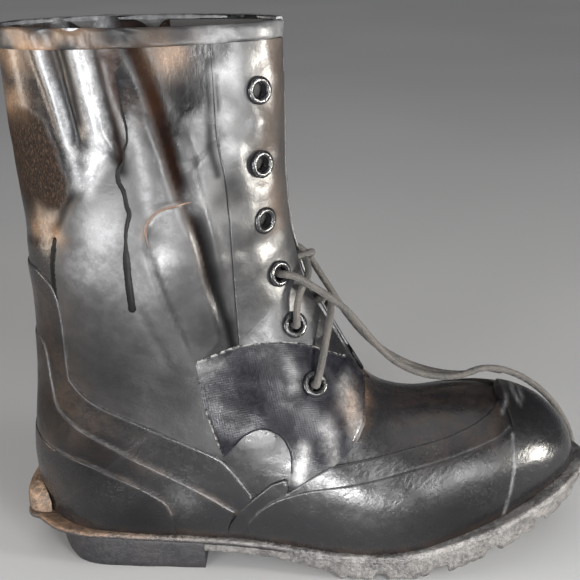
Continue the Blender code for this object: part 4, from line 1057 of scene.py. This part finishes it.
# ---- sole
def welt_half(x):
    return end_rounded(WELT["x"], WELT["half"], x)


def plan_outline(half, start, end, spacing):
    """Evenly spaced points along one side of a plan: places along it and half widths."""
    turn = np.linspace(0, math.pi, 4000)
    xs = start + (end - start) * (1 - np.cos(turn)) / 2
    line = np.stack([xs, half(xs)], -1)
    length = travelled(line)
    places = np.linspace(0, length[-1], int(length[-1] / spacing))
    return [np.interp(places, length, line[:, n]) for n in range(2)]


def slab_edges(half, start, end, spacing, profile, top, bottom, wobble):
    """Both edges of a slab. The profile's points are how far in from the outline, and from 0 at the
    bottom to 1 at the top."""
    x, h = plan_outline(half, start, end, spacing)
    outline = {OUTER: np.stack([x, swing(x) - h], -1), INNER: np.stack([x, swing(x) + h], -1)}
    rings = {}
    for side, line in outline.items():
        along = unit(np.gradient(line, axis=0))
        inwards = np.stack([-along[:, 1], along[:, 0]], -1) * -side
        ring = []
        for inset, height in profile:
            depth = np.minimum(inset + wobble(x, side, height), h * 0.92)
            place = line + inwards * depth[:, None]
            place[:, 0] = np.clip(place[:, 0], start + 0.02, end - 0.02)
            low, high = bottom(place[:, 0]), top(place[:, 0])
            ring.append(np.column_stack([place, low + (high - low) * height]))
        rings[side] = np.stack(ring, 1)
    return rings


def join_edges(rings, across=12, sunk=lambda x: 0 * x):
    """Rings round a slab from its two edges: over the top, and under, in ladders. sunk is how far the
    underside lies above the edges."""
    outer, inner = rings[OUTER], rings[INNER]
    share = np.linspace(0, 1, across + 1)[1:-1, None, None]
    middle = {}
    for key, column in (("bottom", 0), ("top", -1)):
        middle[key] = np.swapaxes(outer[:, column] * (1 - share) + inner[:, column] * share, 0, 1)
    middle["bottom"][..., 2] += sunk(middle["bottom"][..., 0])
    return np.concatenate([outer, middle["top"], inner[:, ::-1], middle["bottom"][:, ::-1]], axis=1)


def flush(x):
    """From 0 under the heel to 1 where welt and sole have one edge."""
    return step(x, 140, 172)


def make_welt(finish):
    def wobble(x, side, height):
        spots = points_at(x, 40.0 * side, 7.0 * height)
        level = 0.8 * max(0.0, 1 - height / 0.4) ** 3 * 2.6
        return 0.35 * waves(spots, 26, 31) + 0.22 * waves(spots, 7, 32) - level * flush(x)

    profile = [(2.2, 0), (1.1, 0.03), (0.45, 0.14), (0.1, 0.34), (0, 0.55), (0.15, 0.76), (0.6, 0.93),
               (1.4, 1), (3.0, 1), (6.0, 1)]
    rings = join_edges(slab_edges(welt_half, 0, LENGTH, 1.3, profile, lambda x: feather_z(x) - GAP,
                                  lambda x: feather_z(x) - GAP - WELT_THICK, wobble))
    points = rings.reshape(-1, 3)
    heights = np.append([height for _, height in profile], np.ones(11))
    share = np.concatenate([heights, heights[:len(profile)][::-1], np.zeros(11)])
    level = np.tile(share, len(points) // len(share))
    # The welt's edge is lighter all over in front; further back only its upper part is lighter and below it
    # stays dark, and the lighter colour turns brown towards the heel.
    on = flush(points[:, 0])
    marks = {"dust": on + (1 - on) * step(level, 0.4, 0.75), "brown": step(-points[:, 0], -130, -20)}
    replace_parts(new_tube("welt_strip", rings, finish, marks), "welt")


UNDER_WELT = GAP + WELT_THICK + GAP  # from the feather line down to the outsole and the heel
LUGS = [(181, 201), (209, 233), (242, 264), (270, 293), (299, 317)]
HEEL_LANDS = [(17, 43), (47, 78), (82, 106)]
HEEL_PLAN = {"x": (16.9, 19, 24, 34, 50, 72, 106), "half": (0, 15, 27, 37, 41.5, 43, 43)}
HEEL_ROUND = {"x": (17, 20, 25, 31, 38), "z": (17, 10, 4.5, 1.4, 0)}


def spans_depth(x, spans, slope=1.0):
    """1 inside a span and 0 outside, with steep sides."""
    total = np.zeros_like(np.asarray(x, float))
    for start, end in spans:
        rise, fall = (step(x, place - slope / 2, place + slope / 2) for place in (start, end))
        total = np.maximum(total, rise - fall)
    return np.clip(total, 0, 1)


def make_outsole(finish):
    xs = np.linspace(HEEL_BREAST_X + GAP, LENGTH - 1.0, 300)
    half = np.maximum(welt_half(xs) - 1.0 + 0.6 * flush(xs), 0.3)
    profile = [(0, 1.0), (0.05, 0.8), (0.0, 0.55), (0.1, 0.38), (0.35, 0.2), (0.9, 0.07), (1.9, 0)]
    plate, tread = smooth(PLATE["x"], PLATE["z"], xs), smooth(TREAD["x"], TREAD["z"], xs)
    top = feather_z(xs) - UNDER_WELT
    ladder = np.linspace(-1, 1, 21)[1:-1]
    rings = []
    for side in (OUTER, INNER):
        spots = points_at(xs, 30.0 * side, 0)
        chips = 0.28 * np.maximum(0, waves(spots, 8, 44)) + 0.3 * np.maximum(0, waves(spots, 4, 45))
        lug = np.clip(spans_depth(xs + 1.6 * waves(spots, 14, 41), LUGS, 2.0) - chips, 0.12, 1)
        bottom = plate + (tread - plate) * lug + (0.25 + 0.2 * waves(spots, 9, 42)) * (1 - lug)
        edge = []
        for inset, height in profile:
            rough = 0.18 * waves(spots + (0, 0, 9 * height), 11, 43)
            y = swing(xs) + side * (half - np.minimum(inset + 0.18 + rough, half * 0.9))
            edge.append(points_at(xs, y, bottom + (top - bottom) * height))
        rings.append(np.stack(edge, 1))
    lug = spans_depth(xs, LUGS)
    bottom = plate + (tread - plate) * lug
    middle = [points_at(xs, swing(xs) + half * 0.94 * s, bottom) for s in ladder]
    over = [points_at(xs, swing(xs) + half * s, top) for s in ladder[::-1]]
    ring = np.concatenate([rings[0], np.stack(middle, 1), rings[1][:, ::-1], np.stack(over, 1)], axis=1)
    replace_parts(new_tube("tread_skin", ring, finish), "outsole")


def make_heel(finish):
    def heel_half(x):
        return end_rounded(HEEL_PLAN["x"], HEEL_PLAN["half"], x)

    def bottom(x):
        return smooth(HEEL_ROUND["x"], HEEL_ROUND["z"], x)

    def grooves(x):
        return np.maximum(0, 2.0 * (1 - spans_depth(x, HEEL_LANDS, 1.2)) - bottom(x))

    def wobble(x, side, height):
        spots = points_at(x, 40.0 * side, 20.0 * height)
        return 0.2 + 0.2 * waves(spots, 24, 51)

    profile = [(2.4, 0), (1.0, 0.02), (0.3, 0.08), (0.05, 0.2), (0, 0.5), (0, 0.8), (0.15, 0.95), (0.5, 1)]
    edges = slab_edges(heel_half, HEEL_BACK_X, HEEL_BREAST_X, 1.0, profile,
                       lambda x: feather_z(x) - UNDER_WELT, bottom, wobble)
    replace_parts(new_tube("heel_block", join_edges(edges, 20, grooves), finish), "heel")


LEDGE_HALF, LEDGE_TOP = 24.0, 41.0


def make_ledge(finish):
    """The ledge for a ski cable: a rounded block on the welt against the back of the heel."""
    around = np.linspace(0.6, 1, 60)
    low, high = HEEL_ROW - 4.0 + 0 * around, HEEL_ROW + 3.0 + 0 * around
    for _ in range(30):
        row = (low + high) / 2
        above = surface(row, around)[:, 2] > LEDGE_TOP
        high, low = np.where(above, row, high), np.where(above, low, row)
    back = lifted(row, around, HEEL_FOXING + GAP)
    y = LEDGE_HALF * np.sin(np.linspace(-math.pi / 2, math.pi / 2, 61))
    order = np.argsort(back[:, 1])
    inner_x = np.interp(np.abs(y), back[order, 1], back[order, 0])
    outer_x = np.interp(np.abs(y), WELT["half"][:6], WELT["x"][:6])
    end = np.sqrt(np.maximum(1 - (np.abs(y) / LEDGE_HALF) ** 4, 0))
    base = feather_z(inner_x) - 0.2
    top = base + (LEDGE_TOP - base) * (0.3 + 0.7 * end)
    spots = points_at(0, y, 0)
    top = top + 0.35 * waves(spots, 20, 61)
    depth = (inner_x - outer_x) * (0.6 + 0.4 * end)
    profile = [(0, 0.0), (0.02, 0.0), (0.0, 0.15), (0.0, 0.5), (0.01, 0.68), (0.05, 0.8), (0.12, 0.87),
               (0.25, 0.92), (0.5, 0.97), (0.8, 1.0), (1.0, 1.0), (1.0, 0.5), (1.0, 0.0)]
    ring = []
    for share, height in profile:
        ring.append(points_at(inner_x - depth * (1 - share), y, base + (top - base) * height))
    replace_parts(new_tube("cable_ledge", np.stack(ring, 1), finish), "heel_ledge")


# ---- eyelets and laces
def make_eyelets(finish):
    # Radius and height above the seat, from the barrel over the rolled rim to the hole.
    profile = [(BARREL, -3.6), (BARREL, -0.1), (6.4, -0.1), (6.9, -0.3), (7.2, 0.1), (7.25, 0.5),
               (7.0, 0.95), (6.5, 1.3), (5.9, 1.5), (5.3, 1.52), (4.7, 1.4), (4.2, 1.1), (3.9, 0.6),
               (3.8, 0.0), (3.8, -3.6)]
    turn = np.linspace(0, 2 * math.pi, 48, endpoint=False)
    for side_name, side in SIDES.items():
        for number in range(1, len(EYELETS) + 1):
            centre, axis = SEATS[side, number]
            across = unit(np.cross(axis, (0, 0, 1.0)))
            other = np.cross(axis, across)
            ring = np.cos(turn)[:, None] * across + np.sin(turn)[:, None] * other
            points = np.concatenate([centre + axis * h + ring * r for r, h in profile])
            triangles = grid_triangles(len(profile) + 1, len(turn), wrap=True) % len(points)
            name = f"rolled_eyelet_{side_name}_{number}"
            piece = new_mesh(name, points, outward(points, triangles), finish)
            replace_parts(piece, f"eyelet_{side_name}_{number}")


BRAID_STEP, BRAID_SIDES, BRAID_PITCH = 0.7, 24, 5.2


def braid(name, path, finish, round_start=True):
    """A round braided tube along a path of boot millimetres, its two sets of strands crossing."""
    radius = LACE / 2
    path = smooth_line(path, BRAID_STEP)
    along = unit(np.gradient(path, axis=0))
    side = unit(np.cross(along[0], (0.3, 0.2, 1.0)))
    sides_at = [side]
    for way in along[1:]:
        side = unit(side - way * (side @ way))
        sides_at.append(side)
    across = np.array(sides_at)
    other = np.cross(along, across)
    turn = np.linspace(0, 2 * math.pi, BRAID_SIDES, endpoint=False)
    travel = np.arange(len(path)) * BRAID_STEP * 2 * math.pi / BRAID_PITCH
    one = np.cos(3 * turn[None, :] + travel[:, None])
    two = np.cos(3 * turn[None, :] - travel[:, None])
    size = radius * (0.93 + 0.1 * np.maximum(one, two) ** 2)
    ends = np.arange(len(path))[::-1] * BRAID_STEP
    if round_start:
        ends = np.minimum(ends, ends[::-1])
    size = size * (0.3 + 0.7 * round_over(ends, radius))[:, None]
    ring = np.cos(turn)[None, :, None] * across[:, None] + np.sin(turn)[None, :, None] * other[:, None]
    return new_tube(name, path[:, None] + size[..., None] * ring, finish, smooth_angle=80), path


UNDER_FLAP = 2.4  # from a flap's inner face to the middle of the lace behind it
THROUGH = (-6.5, -3.0, 0.0, 2.6)  # heights over an eyelet's seat where a lace passes through it
OVER_FLAP = ((0.18, 0.8, 6.0), (0.38, 0.6, 7.2), (0.58, 0.36, 7.4))  # share of the rise, way round, height


def under(row, around):
    return lifted(row, around, -wall(row, around) - UNDER_FLAP)


def out_through(side, number):
    """Up through an eyelet and clear of its rim."""
    centre, axis = SEATS[side, number]
    return [centre + axis * height for height in THROUGH]


def lace_run(side):
    """One lace up to where its free end starts, crossing the throat twice to the other flap."""
    path = [under(12.0, 0.0), under(12.0, side * 0.17)]
    over = 6.2 if side == OUTER else 1.8
    for number, (lower, higher) in enumerate(zip(EYELETS[:2], EYELETS[1:3]), 1):
        path += out_through(side, number)
        rise = higher[0] - lower[0]
        path += [lifted(lower[0] + share * rise, side * around * lower[1], height)
                 for share, around, height in OVER_FLAP]
        path += [lifted(lower[0] + 0.74 * rise, side * 0.02, over),
                 lifted(lower[0] + 0.82 * rise, -side * 0.035, over - 5.5)]
        side = -side
        path += [under(lower[0] + share * rise, side * around * higher[1])
                 for share, around in ((0.9, 0.45), (1, 0.8))]
    path += out_through(side, 3)
    start, then = np.array(END_ROUTES["lace_end_outer" if side == OUTER else "lace_end_inner"][:2])
    return path + [start, start + 0.6 * (then - start)]


def make_crossings(finish):
    for side_name, side in SIDES.items():
        piece, _ = braid(f"lace_run_{side_name}", lace_run(side), finish)
        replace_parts(piece, "lace_crossing_1", "lace_crossing_2")


def make_ends(finish):
    for name, route in END_ROUTES.items():
        piece, path = braid(name + "_braid", route, finish, round_start=False)
        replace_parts(piece, name)
        path = in_metres(path)
        length = float(np.linalg.norm(np.diff(path, axis=0), axis=1).sum())
        tuple(path[0])
        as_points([tuple(p) for p in path[::4]] + [tuple(path[-1])])


# ---- finishes
class Graph:
    """A material being put together; coordinates are the boot's own, in metres."""

    def __init__(self, name):
        self.material = bpy.data.materials.new(name)
        self.material.use_nodes = True
        self.tree = self.material.node_tree
        self.shader = self.tree.nodes["Principled BSDF"]
        self.place = self.add("ShaderNodeTexCoord").outputs["Object"]

    def put(self, node, name, value):
        """Sets an input of a node, or links another node's output to it."""
        if isinstance(value, bpy.types.NodeSocket):
            self.tree.links.new(value, node.inputs[name])
        else:
            node.inputs[name].default_value = value

    def wire(self, name, value):
        self.put(self.shader, name, value)

    def add(self, kind, inputs=None, **settings):
        node = self.tree.nodes.new(kind)
        for key, value in settings.items():
            setattr(node, key, value)
        for key, value in (inputs or {}).items():
            self.put(node, key, value)
        return node

    def math(self, operation, *values, clamp=False):
        inputs = dict(enumerate(values))
        return self.add("ShaderNodeMath", inputs, operation=operation, use_clamp=clamp).outputs[0]

    def times(self, a, b, clamp=False):
        return self.math("MULTIPLY", a, b, clamp=clamp)

    def ramp(self, value, low, high):
        """0 where the value is low and 1 where it is high."""
        inputs = {"Value": value, "From Min": low, "From Max": high}
        return self.add("ShaderNodeMapRange", inputs, interpolation_type="SMOOTHSTEP").outputs[0]

    def noise(self, mm, detail=4, low=0.35, high=0.65, stretch=(1, 1, 1), rough=0.55, place=None):
        """Spots about this many mm across, from 0 to 1."""
        scaled = self.add("ShaderNodeMapping", {"Vector": place or self.place, "Scale": stretch}).outputs[0]
        inputs = {"Vector": scaled, "Scale": 1000 / mm, "Detail": detail, "Roughness": rough}
        return self.ramp(self.add("ShaderNodeTexNoise", inputs).outputs["Fac"], low, high)

    def cells(self, mm):
        inputs = {"Vector": self.place, "Scale": 1000 / mm}
        return self.add("ShaderNodeTexVoronoi", inputs).outputs["Distance"]

    def mark(self, name):
        return self.add("ShaderNodeAttribute", attribute_name=name).outputs["Fac"]

    def mix(self, share, a, b):
        node = self.add("ShaderNodeMix", data_type="RGBA")
        self.put(node, 0, share)
        for index, colour in ((6, a), (7, b)):
            self.put(node, index, (*colour, 1) if isinstance(colour, tuple) else colour)
        return node.outputs[2]

    def total(self, *terms):
        """The sum of value * weight pairs."""
        result = 0.0
        for value, weight in terms:
            result = self.math("MULTIPLY_ADD", value, weight, result)
        return result

    def marked(self, name, *terms):
        """A mark, broken up by the sum of value * weight pairs."""
        return self.times(self.mark(name), self.total(*terms), clamp=True)

    def bump(self, height, mm):
        """A height from 0 to 1 as relief of this many mm."""
        inputs = {"Height": height, "Distance": mm / 1000, "Strength": 1.0}
        self.wire("Normal", self.add("ShaderNodeBump", inputs).outputs[0])


BLACK = (0.0075, 0.0075, 0.0085)
DEEPEST = (0.002, 0.002, 0.002)
SCUFFED = (0.09, 0.085, 0.08)
BLOOM = (0.026, 0.0255, 0.026)
BROWN_REFLECTION = (0.02, 0.0085, 0.005)
DIRT = (0.062, 0.037, 0.022)
HIGHLIGHT_GREY = (0.36, 0.365, 0.375)
WARM_HIGHLIGHT = (0.4, 0.25, 0.15)


def rubber_finish(name, gloss=0.21, dull=0.35, crackle=0.0, black=BLACK):
    """Black rubber: glossy where polished, grey and dull where it has bloomed, brown where dirty; painted
    highlights, painted warm highlights, a painted brown reflection in folds and painted shade are mixed into
    its colour.
    """
    g = Graph(name)
    broad = g.noise(30, 5, 0.38, 0.66)
    fine = g.noise(5, 5, 0.4, 0.62)
    specks = g.noise(1.4, 3, 0.52, 0.68)
    bloom = g.marked("bloom", (broad, 0.3), (fine, 0.1), (1.0, 0.6))
    dirt = g.marked("dust", (g.noise(11, 6, 0.4, 0.62), 0.7), (specks, 0.3), (0.25, 1.0))
    colour = g.mix(bloom, black, BLOOM)
    # Painted brown reflection in the folds.
    colour = g.mix(g.marked("brown", (broad, 0.5), (fine, 0.2), (0.4, 1.0)), colour, BROWN_REFLECTION)
    colour = g.mix(g.times(dirt, 0.85), colour, DIRT)
    # Painted shade, near black; the same mark also lowers the specular level below.
    colour = g.mix(g.times(g.mark("deep"), 0.7), colour, DEEPEST)
    scratches = g.noise(3.2, 2, 0.63, 0.7, (0.35, 0.35, 2.6))
    scuffs = g.times(g.mark("scuff"), g.math("MAXIMUM", scratches, specks), clamp=True)
    colour = g.mix(scuffs, colour, SCUFFED)
    # Painted highlights: light grey, and warm tan, the tan also as glints on the pebbled part.
    highlight_and_scratch = g.marked("highlight_and_scratch", (specks, 0.22), (fine, 0.3), (0.5, 1.0))
    warm_lit = g.marked("tan", (specks, 0.4), (broad, 0.4), (0.4, 1.0))
    flecks = g.times(g.mark("pebble"), g.noise(0.9, 4, 0.42, 0.78, (1.2, 1.2, 0.6)), clamp=True)
    warm_lit = g.math("MAXIMUM", warm_lit, g.times(flecks, 0.13))
    g.wire("Base Color", g.mix(warm_lit, g.mix(highlight_and_scratch, colour, HIGHLIGHT_GREY), WARM_HIGHLIGHT))
    pebble, cracked = g.mark("pebble"), g.mark("cracked")
    sunk = g.math("MAXIMUM", g.mark("sunk"), g.mark("deep"))
    g.wire("Specular IOR Level", g.math("MULTIPLY_ADD", sunk, -0.5, 0.5, clamp=True))
    rough = g.total((sunk, 0.12), (g.mark("brown"), 0.07), (bloom, dull - gloss), (dirt, 0.25),
                    (scuffs, 0.15), (fine, 0.06), (specks, 0.04), (gloss, 1.0), (pebble, 0.02),
                    (cracked, 0.05))
    g.wire("Roughness", g.math("MINIMUM", rough, 0.85))
    skin = g.total((g.noise(0.7, 3, 0.2, 0.8), 0.05), (g.cells(1.3), 0.05), (g.noise(8, 3, 0.2, 0.8), 0.3))
    fibres = g.noise(1.7, 4, 0.3, 0.7, (1.1, 1.1, 0.45))
    furrows = g.noise(2.6, 5, 0.3, 0.7, (1.2, 1.0, 0.4))
    terms = [(skin, 1.0), (g.times(pebble, fibres), 0.6),
             (g.times(cracked, furrows), 0.55)]
    if crackle:
        slanted = g.add("ShaderNodeMapping", {"Vector": g.place, "Rotation": (0, 0.75, 0)}).outputs[0]
        lines = g.noise(2.8, 4, 0.32, 0.68, (0.5, 0.8, 1.5), 0.6, slanted)
        terms += [(lines, crackle), (g.noise(4.2, 3, 0.3, 0.7), crackle * 0.6)]
    g.bump(g.total(*terms), 0.4)
    return g.material


def cloth_finish(name):
    """Rubber-coated weave, more specular in places, where a highlight is painted on it."""
    g = Graph(name)
    split = g.add("ShaderNodeSeparateXYZ", {"Vector": g.place}).outputs
    threads_per_m = 2 * math.pi * 1000 / 1.25
    slant = g.times(g.total((split[0], 0.82), (split[2], 0.57)), threads_per_m)
    other = g.times(g.total((split[0], -0.57), (split[2], 0.82)), threads_per_m)
    weave = g.times(g.math("SINE", slant), g.math("SINE", other))
    patches = g.noise(11, 5, 0.42, 0.62)
    fine = g.noise(2.4, 4, 0.4, 0.62)
    colour = g.mix(patches, (0.004, 0.004, 0.006), (0.011, 0.011, 0.014))
    threads = g.marked("frayed", (weave, 0.5), (fine, 1.2), (-0.05, 1.0))
    colour = g.mix(threads, colour, (0.3, 0.29, 0.275))
    dirt = g.times(g.mark("dust"), g.noise(9, 5, 0.4, 0.6), clamp=True)
    # Painted highlights on the patch: light grey, and warm tan where the warm mark also is.
    patch_highlight = g.marked("patch_highlight", (patches, 0.25), (fine, 0.3), (0.6, 1.0))
    colour = g.mix(g.times(patch_highlight, 0.6), colour, (0.22, 0.215, 0.21))
    colour = g.mix(g.times(patch_highlight, g.times(g.mark("tan"), 0.5)), colour, WARM_HIGHLIGHT)
    g.wire("Base Color", g.mix(dirt, colour, DIRT))
    g.wire("Roughness", g.total((patches, -0.08), (fine, 0.08), (dirt, 0.2), (0.24, 1.0)))
    g.wire("Specular IOR Level", g.total((patch_highlight, 0.6), (patches, 0.05), (0.1, 1.0)))
    g.bump(g.total((weave, 0.04), (fine, 0.03), (g.noise(9, 4, 0.25, 0.75), 0.12)), 0.5)
    return g.material


def tread_finish(name, base, dusty, share=0.6, marked=False, rough=1.0):
    """Moulded rubber, rubbed grey and brown."""
    g = Graph(name)
    broad, fine, specks = g.noise(16, 5, 0.4, 0.64), g.noise(2.4, 5, 0.42, 0.6), g.noise(0.8, 3, 0.5, 0.6)
    dust = g.total((broad, 0.5), (fine, 0.35), (specks, 0.35), (0.1, 1.0))
    dust = g.times(dust, share, clamp=True)
    if marked:
        dust = g.times(dust, g.mark("dust"))
        dusty = g.mix(g.mark("brown"), dusty, (0.19, 0.11, 0.062))
    g.wire("Base Color", g.mix(dust, base, dusty))
    g.wire("Roughness", g.total((dust, 0.3), (fine, 0.1), (0.4, 1.0)))
    height = g.total((g.noise(0.9, 4, 0.2, 0.8), 0.35), (fine, 0.45), (g.noise(6, 3, 0.2, 0.8), 0.4))
    g.bump(height, 0.5 * rough)
    return g.material


def lace_finish(name):
    """Waxed cotton gone grey, with a little fuzz."""
    g = Graph(name)
    fine, broad = g.noise(0.6, 3, 0.35, 0.65), g.noise(14, 3, 0.4, 0.6)
    colour = g.mix(fine, (0.008, 0.0075, 0.007), (0.05, 0.045, 0.04))
    g.wire("Base Color", g.mix(g.times(broad, 0.35), colour, (0.075, 0.062, 0.05)))
    g.wire("Roughness", 0.6)
    g.wire("Sheen Weight", 0.12)
    g.wire("Sheen Roughness", 0.5)
    g.bump(fine, 0.15)
    return g.material


def enamel_finish(name):
    """Black enamelled metal, chipped to bright metal on its edges."""
    g = Graph(name)
    chips = g.noise(1.3, 4, 0.66, 0.7)
    g.wire("Base Color", g.mix(chips, (0.008, 0.008, 0.009), (0.45, 0.44, 0.42)))
    g.wire("Metallic", chips)
    g.wire("Roughness", g.total((g.noise(4, 3), 0.1), (chips, 0.15), (0.12, 1.0)))
    g.bump(g.noise(1.2, 3, 0.3, 0.7), 0.04)
    return g.material


def wool_finish(name):
    """The footbed's dark felt."""
    g = Graph(name)
    fuzz = g.noise(1.1, 5, 0.3, 0.7)
    g.wire("Base Color", g.mix(fuzz, (0.05, 0.044, 0.038), (0.13, 0.115, 0.1)))
    g.wire("Roughness", 0.95)
    g.wire("Sheen Weight", 0.4)
    g.bump(fuzz, 0.6)
    return g.material


def floor_finish(name):
    g = Graph(name)
    g.wire("Base Color", g.mix(g.noise(900, 2), (0.42, 0.42, 0.42), (0.45, 0.45, 0.45)))
    g.wire("Roughness", 0.6)
    return g.material


# ---- camera, light and floor
IMAGE_SIDE, SENSOR = 580, 36.0
CAMERA_AT = (177.78, -600.0, 359.255)
YAW, PITCH, ROLL = -0.03598, 0.33175, -0.02297
FOCAL = 1129.647  # on the scale on which the image's side is IMAGE_SIDE


def way_to(yaw, pitch):
    """The unit vector that points this far to the left of +X and this far up."""
    return Vector((math.cos(yaw) * math.cos(pitch), math.sin(yaw) * math.cos(pitch), math.sin(pitch)))


def make_camera():
    forward = Vector((math.sin(YAW) * math.cos(PITCH), math.cos(YAW) * math.cos(PITCH), -math.sin(PITCH)))
    level = Vector((math.cos(YAW), -math.sin(YAW), 0))
    up = level.cross(forward)
    right = math.cos(ROLL) * level + math.sin(ROLL) * up
    up = -math.sin(ROLL) * level + math.cos(ROLL) * up
    data = bpy.data.cameras.new("camera")
    data.sensor_width = SENSOR
    data.lens = SENSOR * FOCAL / IMAGE_SIDE
    data.clip_start = 0.01
    camera = link("camera", data)
    turned = Matrix((right, up, -forward)).transposed().to_4x4()
    camera.matrix_world = Matrix.Translation(in_metres(CAMERA_AT)) @ turned
    bpy.context.scene.camera = camera
    bpy.context.scene.view_settings.view_transform = "Standard"


AIM = Vector((0.08, 0, 0.15))
WHITE, STUDIO_GREY = (1, 1, 1), (0.04, 0.04, 0.045, 1)
OVERHEAD_POWER, OVERHEAD_SPREAD = 1.0, 60  # watts a square metre, degrees
# Azimuth and elevation from AIM, distance, size, watts and colour.
SOFTBOXES = {
    "left_front": (-128, 4, 1.5, (0.3, 0.7), 13.5, WHITE),
    "left_high": (-112, 12, 1.5, (0.3, 0.4), 9, WHITE),
    "back_left": (-172, 5, 1.5, (0.3, 0.6), 8, (1, 0.86, 0.72)),
    "low_front": (-90, -8, 0.62, (0.12, 0.08), 3, WHITE),
    "right_front": (-60, 10, 1.5, (0.3, 0.4), 16, WHITE),
    "right_low": (-45, 3, 1.5, (0.4, 0.5), 7.5, WHITE),
    "right_high": (-58, 28, 1.5, (0.3, 0.4), 5, WHITE),
    "toe_side": (-15, -1, 1.5, (0.18, 0.24), 30, (1, 0.96, 0.88)),
    "toe_high": (-25, 25, 1.5, (0.3, 0.3), 4, WHITE),
}


def make_lights():
    for name, (azimuth, elevation, distance, size, power, colour) in SOFTBOXES.items():
        way = way_to(math.radians(azimuth), math.radians(elevation))
        data = bpy.data.lights.new(name, "AREA")
        data.shape = "RECTANGLE"
        data.size, data.size_y = size
        data.energy = power
        data.color = colour
        light = link(name, data)
        light.location = AIM + way * distance
        light.rotation_euler = way.to_track_quat("Z", "Y").to_euler()
    overhead = bpy.data.lights.new("overhead", "SUN")
    overhead.energy = OVERHEAD_POWER
    overhead.angle = math.radians(OVERHEAD_SPREAD)
    link("overhead", overhead)
    world = bpy.data.worlds.new("studio")
    world.use_nodes = True
    world.node_tree.nodes["Background"].inputs["Color"].default_value = STUDIO_GREY
    bpy.context.scene.world = world


def make_floor():
    mesh = bpy.data.meshes.new("floor")
    near, far = -4, 8  # metres
    mesh.from_pydata([(near, near, 0), (-near, near, 0), (-near, far, 0), (near, far, 0)], [], [(0, 1, 2, 3)])
    floor = link("floor", mesh)
    floor.data.materials.append(floor_finish("floor_paint"))


make_camera()
lace = lace_finish("braided_lace")
make_ends(lace)
make_crossings(lace)
skin = rubber_finish("black_rubber")
strips = rubber_finish("black_rubber_strips", gloss=0.2, dull=0.36, crackle=0.13)
cloth = cloth_finish("rubberised_cloth")
make_upper(skin)
make_layers(strips, cloth, skin)
make_toe_tip(strips)
make_drips(rubber_finish("black_rubber_cement", gloss=0.3, black=(0.003, 0.003, 0.003)),
           rubber_finish("black_rubber_lip", gloss=0.4, black=(0.075, 0.04, 0.024)))
make_binding(rubber_finish("black_rubber_binding", gloss=0.3))
# The gusset's rubber is painted dark grey, lighter than the rest, for the light that falls on it behind the
# eyelets.
make_tongue(rubber_finish("black_rubber_gusset", gloss=0.45, black=(0.06, 0.058, 0.056)))
welt = tread_finish("tread_rubber_welt", (0.014, 0.013, 0.014), (0.19, 0.18, 0.172), 0.85, marked=True)
tread = tread_finish("tread_rubber", (0.02, 0.019, 0.02), (0.17, 0.16, 0.152), 0.7)
make_welt(welt)
make_outsole(tread)
make_heel(tread_finish("tread_rubber_heel", (0.006, 0.006, 0.008), (0.022, 0.018, 0.018), 0.4, rough=0.25))
make_ledge(tread_finish("tread_rubber_ledge", (0.025, 0.018, 0.013), (0.26, 0.17, 0.11), 0.85))
make_eyelets(enamel_finish("japanned_metal"))
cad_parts["insole"].material_slots[0].material = wool_finish("wool_lining")
make_lights()
make_floor()
